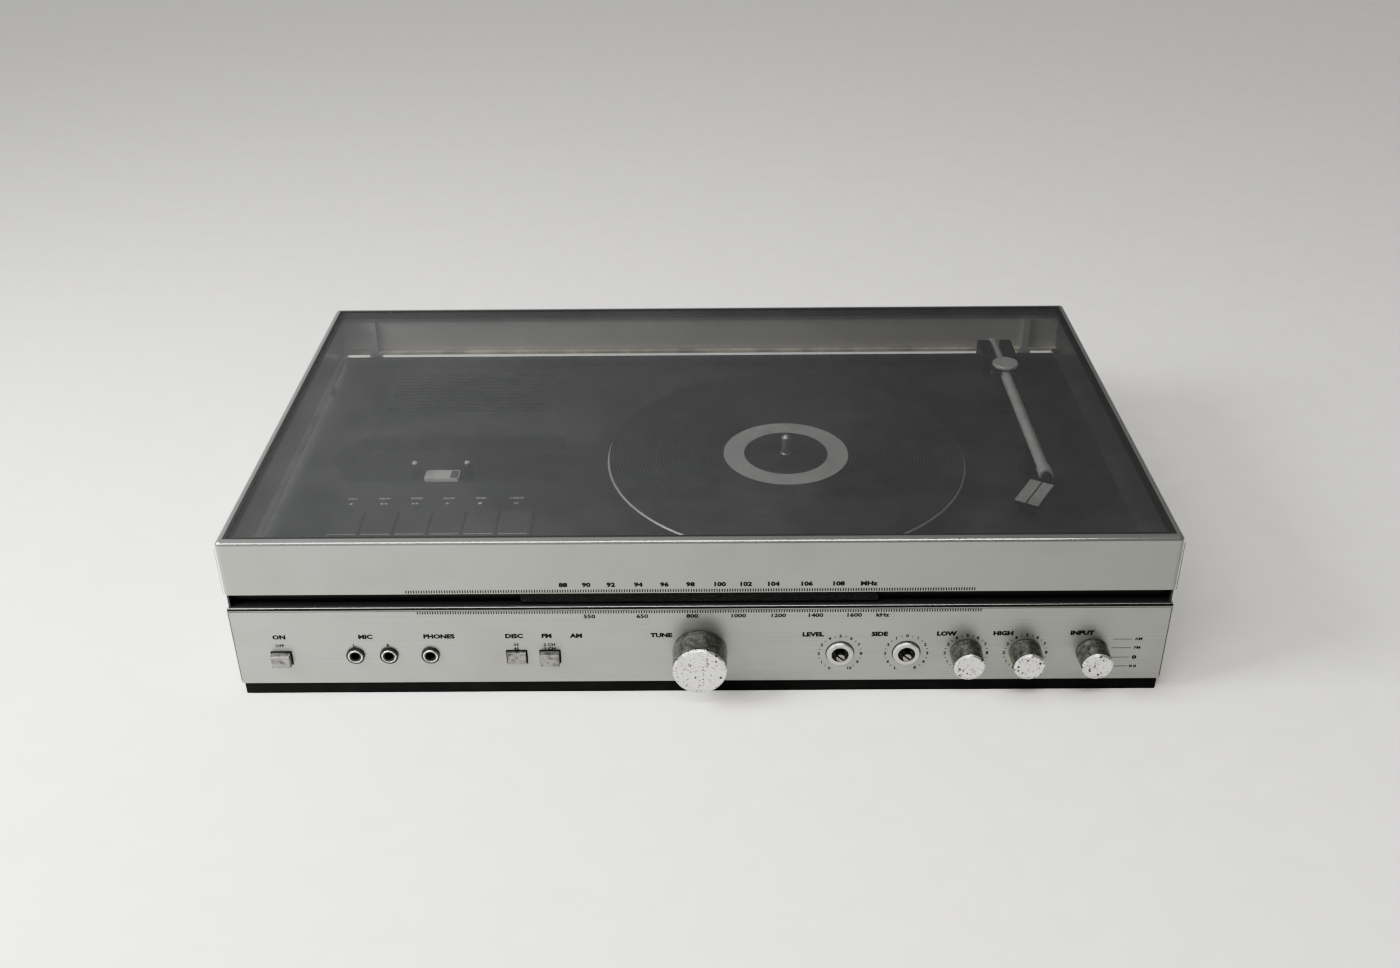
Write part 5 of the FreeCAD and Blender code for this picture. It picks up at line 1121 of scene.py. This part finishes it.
@dataclass
class Controls(SubAssembly):
    """Knobs, shafts, buttons and sockets of the front panel, with the marks round them."""

    finishes: ClassVar[Dict[str, Finish]] = {
        "tuning_knob": Palette.knob("tuning_plating", 0.0, 35.6, -209.6),
        "bass_knob": Palette.knob("bass_plating", 189.0, 34.5),
        "treble_knob": Palette.knob("treble_plating", 231.0, 34.5),
        "selector_knob": Palette.knob("selector_plating", 278.5, 34.5),
        "volume_shaft": Palette.shaft, "balance_shaft": Palette.shaft, "shaft_collars": Palette.collar,
        "jack_nuts": Palette.dark_nut, "jack_sockets": Palette.fitting, "power_button": Palette.button,
        "speed_button": Palette.button, "stereo_button": Palette.button, "control_units": Palette.fitting}
    front: float = -187.02
    label_z: float = 51.0
    label_print: Print = Print(3.4, 1.2, 0.08)
    labels: Marks = (
        ("ON", -297.0), ("MIC", -236.0), ("PHONES", -184.0), ("DISC", -131.0), ("FM", -108.0), ("AM", -87.0),
        ("TUNE", -27.0), ("LEVEL", 80.0), ("SIDE", 127.0), ("LOW", 174.0), ("HIGH", 214.0), ("INPUT", 269.5))
    small_print: Print = Print(2.3, 1.15, 0.05)
    small_labels: Tuple[Tuple[str, float, float], ...] = (
        ("L", -244.7, 43.6), ("R", -220.8, 43.6), ("33", -130.0, 43.4), ("45", -130.0, 39.9), ("2 CH", -106.4, 43.4),
        ("1 CH", -106.4, 39.9), ("OFF", -297.5, 43.6))
    ring_print: Print = Print(2.4, 1.1, 0.05)
    ring_figures: str = "0 1 2 3 4 5 6 7 8 9 10"
    balance_figures: str = "L 4 3 2 1 0 1 2 3 4 R"
    ring_radius: float = 15.0
    ring_z: float = 34.3
    ring_start: float = -152.0
    ring_step: float = 30.4
    ring_tick_half: Span = (0.22, 0.8)
    rings: Dict[str, float] = field(default_factory=lambda: {
        "volume": 99.5, "balance": 146.6, "bass": 189.0, "treble": 231.0})
    lead_x: Span = (292.0, 305.5)
    lead_z: Row = (45.5, 37.8, 29.5, 21.6)
    lead_half: float = 0.2
    lead_print: Print = Print(2.4, 1.1)
    lead_print_x: float = 310.0
    disc_mark: Span = (0.5, 1.6)
    disc_mark_x: float = 309.0
    reel_mark: Span = (0.4, 1.1)
    reel_mark_x: Span = (307.6, 310.6)
    jack_z: float = 35.1
    jacks: Row = (-244.7, -220.8, -191.3)
    rim_profile: Profile = (
        (4.35, -0.3), (4.35, 0.3), (4.6, 0.5), (4.9, 0.5), (5.15, 0.25), (5.15, -0.3), (4.35, -0.3))
    shaft_z: float = 34.5
    collar_well: Span = (3.7, 6.1)
    well_thick: float = 0.4
    well_out: float = 0.3
    collar_line: Span = (9.7, 10.2)
    line_thick: float = 0.04
    button_z: float = 32.8
    buttons: Row = (-297.5, -130.0, -106.4)
    button_low: Span = (-7.6, -5.9)
    button_high: Span = (7.6, 6.1)
    button_line: float = 1.0

    def ring(self, name: str, x: float) -> List[Piece]:
        """Print the figures and ticks round one control.

        Args:
            name: The control's name.
            x: Its place along the panel, in millimetres.

        Returns:
            The ring of marks.
        """
        middle, radius = (x, self.front, self.ring_z), self.ring_radius
        figures = (self.balance_figures if name == "balance" else self.ring_figures).split()
        angles = [self.ring_start + self.ring_step * index for index in range(len(figures))]
        marks = [Bench.letter(words, self.ring_print, around(middle, radius, angle))
                 for words, angle in zip(figures, angles)]
        half, reach = self.ring_tick_half
        low, high = (-half, -PRINT_THICK, radius - reach), (half, PRINT_THICK, radius + reach)
        turns = [Matrix.Rotation(math.radians(angle + self.ring_step / 2), 4, "Y") for angle in angles[:-1]]
        return marks + Bench.place(Bench.block(low, high), [middle] * len(turns), turns)

    def leads(self) -> List[Piece]:
        """Draw the four lines that lead from the selector to its marks.

        Returns:
            The lines with the marks at their ends.
        """
        turn, (start, end), half = [Facing.FRONT.turn()], self.lead_x, self.lead_half
        lead = Bench.block((start, -PRINT_THICK, -half), (end, PRINT_THICK, half))
        marks = Bench.place(lead, [(0.0, self.front, z) for z in self.lead_z])
        upper, second, third, lowest = self.lead_z
        for words, z in (("AM", upper), ("FM", second)):
            marks.append(Bench.letter(words, self.lead_print, (self.lead_print_x, self.front, z)))
        disc = Bench.washer(*self.disc_mark, steps=24)
        marks += Bench.place(disc, [(self.disc_mark_x, self.front, third)], turn)
        reel = Bench.washer(*self.reel_mark, steps=20)
        return marks + Bench.place(reel, [(x, self.front, lowest) for x in self.reel_mark_x], turn)

    def build(self) -> None:
        """Print the panel's marks and make the trim of its controls."""
        words = [Bench.letter(text, self.label_print, (x, self.front, self.label_z)) for text, x in self.labels]
        words += [Bench.letter(text, self.small_print, (x, self.front, z)) for text, x, z in self.small_labels]
        self.keep("panel_labels", words, "chassis", Palette.print_and_shade)
        for name, x in self.rings.items():
            self.keep(name + "_ring_marks", self.ring(name, x), "chassis", Palette.print_and_shade)
        self.keep("selector_marks", self.leads(), "chassis", Palette.print_and_shade)
        self.trim()

    def trim(self) -> None:
        """Make the rims of the jacks, black wells of painted shade in the collars' holes, and dark lines of painted
        shadow round collars and buttons.
        """
        turn, bush = [Facing.FRONT.turn()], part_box("jack_sockets")[0][1] / MM
        rims = Bench.place(Bench.lathe(self.rim_profile), [(x, bush, self.jack_z) for x in self.jacks], turn)
        self.keep("jack_rims", rims, "chassis", Palette.nickel, "nickel")
        shafts = self.rings["volume"], self.rings["balance"]
        # Black rings of painted shade fill the collars' holes round the shafts.
        well = Bench.washer(*self.collar_well, self.well_thick)
        wells = Bench.place(well, [(x, self.front - self.well_out, self.shaft_z) for x in shafts], turn)
        self.keep("collar_wells", wells, "chassis", Palette.rubber)
        # Dark lines of painted shadow round the collars and in the gaps round the buttons.
        back = self.front + PRINT_THICK
        line = Bench.washer(*self.collar_line, self.line_thick, steps=64)
        lines = Bench.place(line, [(x, back, self.shaft_z) for x in shafts], turn)
        low, high = (*self.button_low, 0.0), (*self.button_high, self.line_thick)
        border = Bench.surround(low, high, self.button_line)
        lines += Bench.place(border, [(x, back, self.button_z) for x in self.buttons], turn)
        self.keep("control_outlines", lines, "chassis", Palette.print_and_shade)


@dataclass
class Lid(SubAssembly):
    """The hinged lid with its smoked pane."""

    finishes: ClassVar[Dict[str, Finish]] = {
        "lid_frame": Palette.lid_silver, "hinge_arms": Palette.silver, "lid_pane": Palette.pane}
    half_width: float = 330.0
    front: float = -187.0
    rear: float = 203.0
    strip_inset: float = 4.9
    strip_width: float = 2.6
    strip_z: Span = (130.0, 130.35)
    line_y: Span = (-187.03, -186.98)
    line_z: Span = (88.0, 126.5)
    line_half: float = 0.2
    line_inset: float = 0.35

    def build(self) -> None:
        """Make the dark strip round the pane and the lines at the ends of the front."""
        # A thin dark strip laid round the pane's edge.
        reach, (low, high) = self.half_width - self.strip_inset, self.strip_z
        first, last = (-reach, self.front + self.strip_inset, low), (reach, self.rear - self.strip_inset, high)
        self.keep("pane_edge_strip", [Bench.surround(first, last, self.strip_width)], "lid", Palette.rubber)
        (out, back), (low, high), half = self.line_y, self.line_z, self.line_half
        line, place = Bench.block((-half, out, low), (half, back, high)), self.half_width - self.line_inset
        ends = Bench.place(line, [(-place, 0.0, 0.0), (place, 0.0, 0.0)])
        self.keep("lid_end_lines", ends, "lid", Palette.print_and_shade)


@dataclass
class Turntable(SubAssembly):
    """Platter, mat, spindle and drive."""

    finishes: ClassVar[Dict[str, Finish]] = {
        "platter": Palette.platter, "platter_mat": Palette.mat, "spindle": Palette.steel,
        "platter_bearing": Palette.steel, "turntable_motor": Palette.zinc, "motor_pulley": Palette.brass,
        "drive_belt": Palette.rubber}
    centre: Point = (69.0, -3.0, 0.0)
    mat_low: float = 91.5
    mat_top: float = 94.5
    mat_round: Span = (0.4, 0.3)
    mat_border: float = 1.0
    inner: Span = (4.8, 33.0)
    outer: Span = (50.0, 140.6)
    rib_step: float = 2.4
    rib_depth: float = 0.7
    rib_shares: Span = (0.3, 0.6)

    def ribbed(self, inner: float, outer: float) -> Piece:
        """Turn a mat ring with fine ribs on top.

        Args:
            inner: Its inner radius, in millimetres.
            outer: Its outer radius.

        Returns:
            The ring, about the origin.
        """
        low, top, border, (across, down) = self.mat_low, self.mat_top, self.mat_border, self.mat_round
        ribbed = outer - inner - 2.0 * border
        count = int(ribbed / self.rib_step)
        step, valley = ribbed / count, top - self.rib_depth
        fall, floor = (share * step for share in self.rib_shares)
        profile = [(inner, low), (inner, top - down), (inner + across, top)]
        for index in range(count):
            base = inner + border + index * step
            profile += [(base, top), (base + fall, valley), (base + floor, valley)]
        profile += [(outer - border, top), (outer - across, top), (outer, top - down), (outer, low), (inner, low)]
        return Bench.lathe(profile, steps=128)

    def build(self) -> None:
        """Make the ribbed mat."""
        rings = [Bench.put(self.ribbed(*radii), self.centre) for radii in (self.outer, self.inner)]
        mat = self.keep("ribbed_mat", rings, "turntable", Palette.mat, "mat_rubber")
        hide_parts("platter_mat")


@dataclass
class Tonearm(SubAssembly):
    """Arm, headshell, counterweight and their stand."""

    finishes: ClassVar[Dict[str, Finish]] = {
        "arm_base": Palette.fitting, "arm_rest": Palette.fitting, "arm_yoke": Palette.fitting, "arm_cap": Palette.cap,
        "arm_tube": Palette.arm, "headshell": Palette.fitting, "headshell_plate": Palette.arm,
        "cartridge": Palette.fitting, "counterweight": Palette.weight}


@dataclass
class CassetteDeck(SubAssembly):
    """The cassette well, its spindles and the row of keys."""

    finishes: ClassVar[Dict[str, Finish]] = {
        "key_record": Palette.key, "key_rewind": Palette.key, "key_wind": Palette.key, "key_play": Palette.key,
        "key_stop": Palette.key, "key_pause": Palette.key, "cassette_tray": Palette.well, "tape_light": Palette.lamp,
        "tape_mechanism": Palette.fitting, "key_rod": Palette.steel, "supply_spindle": Palette.fitting,
        "takeup_spindle": Palette.fitting}
    deck: float = 79.52
    sunk: float = 0.01
    words_y: float = -46.0
    words_print: Print = Print(2.4, 1.2)
    words: Dict[str, float] = field(default_factory=lambda: {
        "REC": -270.0, "REW": -245.0, "FWD": -220.0, "RUN": -195.0, "END": -170.0, "HOLD": -142.0})
    symbol_y: float = -53.5
    symbol_half: float = 1.4
    arrow_half: float = 1.3
    arrow_apart: float = 1.5
    bar_half: float = 0.5
    bar_apart: float = 1.0
    tip_profile: Profile = ((0.0, -0.6), (2.15, -0.6), (2.15, 0.3), (1.7, 0.9), (0.8, 1.2), (0.0, 1.25))
    patch_x: Span = (7.0, 0.8)
    patch_inset: float = 1.0
    patch_z: Span = (-0.05, 0.12)
    patch_edge: float = 0.05
    keys: Tuple[str, ...] = ("record", "rewind", "wind", "play", "stop", "pause")
    key_first: float = -266.8
    key_pitch: float = 25.6
    line_inset: float = 2.2
    rim_y: Span = (-104.4, -103.9)
    rim_z: Span = (83.96, 84.06)
    step_y: Span = (-105.06, -104.96)
    step_z: Span = (80.0, 80.5)

    def symbols(self, shape: Piece, *places: float) -> List[Piece]:
        """Set a flat symbol and its copies on the deck."""
        return Bench.place(shape, [(x, self.symbol_y, self.deck - self.sunk) for x in places])

    def arrow(self, way: float) -> Piece:
        """Cut an arrow head that points right for 1 and left for -1."""
        half, reach = self.symbol_half, self.arrow_half * way
        return Bench.plate([(-reach, -half), (reach, 0.0), (-reach, half)], MARK_THICK)

    def bar(self, half: float) -> Piece:
        """Cut an upright bar, from half its width in millimetres."""
        return Bench.block((-half, -self.symbol_half, 0.0), (half, self.symbol_half, MARK_THICK))

    def build(self) -> None:
        """Print a word and a symbol behind each key, and make the trim with the painted highlights along the keys."""
        marks = [Bench.letter(words, self.words_print, (x, self.words_y, self.deck), Facing.UP)
                 for words, x in self.words.items()]
        record, rewind, wind, play, stop, pause = self.words.values()
        apart = self.arrow_apart
        marks += self.symbols(Bench.washer(0.0, self.symbol_half, steps=24), record)
        marks += self.symbols(self.arrow(-1.0), rewind - apart, rewind + apart)
        marks += self.symbols(self.arrow(1.0), wind - apart, wind + apart, play)
        marks += self.symbols(self.bar(self.symbol_half), stop)
        marks += self.symbols(self.bar(self.bar_half), pause - self.bar_apart, pause + self.bar_apart)
        self.keep("key_marks", marks, "chassis", Palette.pale_mark_and_highlight)
        self.reel_tips()
        self.light_patch()
        self.key_highlights()

    def reel_tips(self) -> None:
        """Make the pale tips of both reel spindles."""
        boxes = [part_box(node) for node in ("supply_spindle", "takeup_spindle")]
        spots = [((low[0] + high[0]) / 2 / MM, (low[1] + high[1]) / 2 / MM, high[2] / MM) for low, high in boxes]
        tips = Bench.place(Bench.lathe(self.tip_profile, steps=28), spots)
        for tip, body in zip(tips, ("supply_reel", "takeup_reel")):
            self.keep(body + "_tip", [tip], body, Palette.lamp, "pale_plastic")

    def light_patch(self) -> None:
        """Make the grey patch on the tape light."""
        low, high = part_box("tape_light")
        right, front, rear, top = high[0] / MM, low[1] / MM, high[1] / MM, high[2] / MM
        first = (right - self.patch_x[0], front + self.patch_inset, top + self.patch_z[0])
        last = (right - self.patch_x[1], rear - self.patch_inset, top + self.patch_z[1])
        self.keep("light_patch", [Bench.block(first, last, self.patch_edge)], "chassis", Palette.patch)

    def key_highlights(self) -> None:
        """Make the pale lines of painted highlight along the rim and the step of each key."""
        half = self.key_pitch / 2 - self.line_inset
        spots = [(self.key_first + index * self.key_pitch, 0.0, 0.0) for index in range(len(self.keys))]
        rows = []
        # Pale lines of painted highlight where each key's rim and step catch the light.
        for (front, rear), (low, high) in ((self.rim_y, self.rim_z), (self.step_y, self.step_z)):
            rows.append(Bench.place(Bench.block((-half, front, low), (half, rear, high)), spots))
        for name, lines in zip(self.keys, zip(*rows)):
            self.keep(name + "_key_highlights", lines, name + "_key", Palette.pale_mark_and_highlight)


@dataclass
class Interior(SubAssembly):
    """What stands inside the cabinet."""

    finishes: ClassVar[Dict[str, Finish]] = {
        "transformer": Palette.lamination, "main_board": Palette.laminate, "tuner_unit": Palette.zinc}


def main() -> None:
    """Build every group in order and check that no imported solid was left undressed."""
    logging.basicConfig(level=logging.INFO, format="%(message)s")
    Stage().build()
    dressed: List[str] = []
    groups = (Cabinet(), Dial(), Controls(), Lid(), Turntable(), Tonearm(), CassetteDeck(), Interior())
    for group in groups:
        group.dress()
        group.build()
        dressed += group.finishes
    missing = sorted(set(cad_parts) - set(dressed))
    if missing:
        raise RuntimeError("no finish for " + ", ".join(missing))


if __name__ == "__main__":
    main()
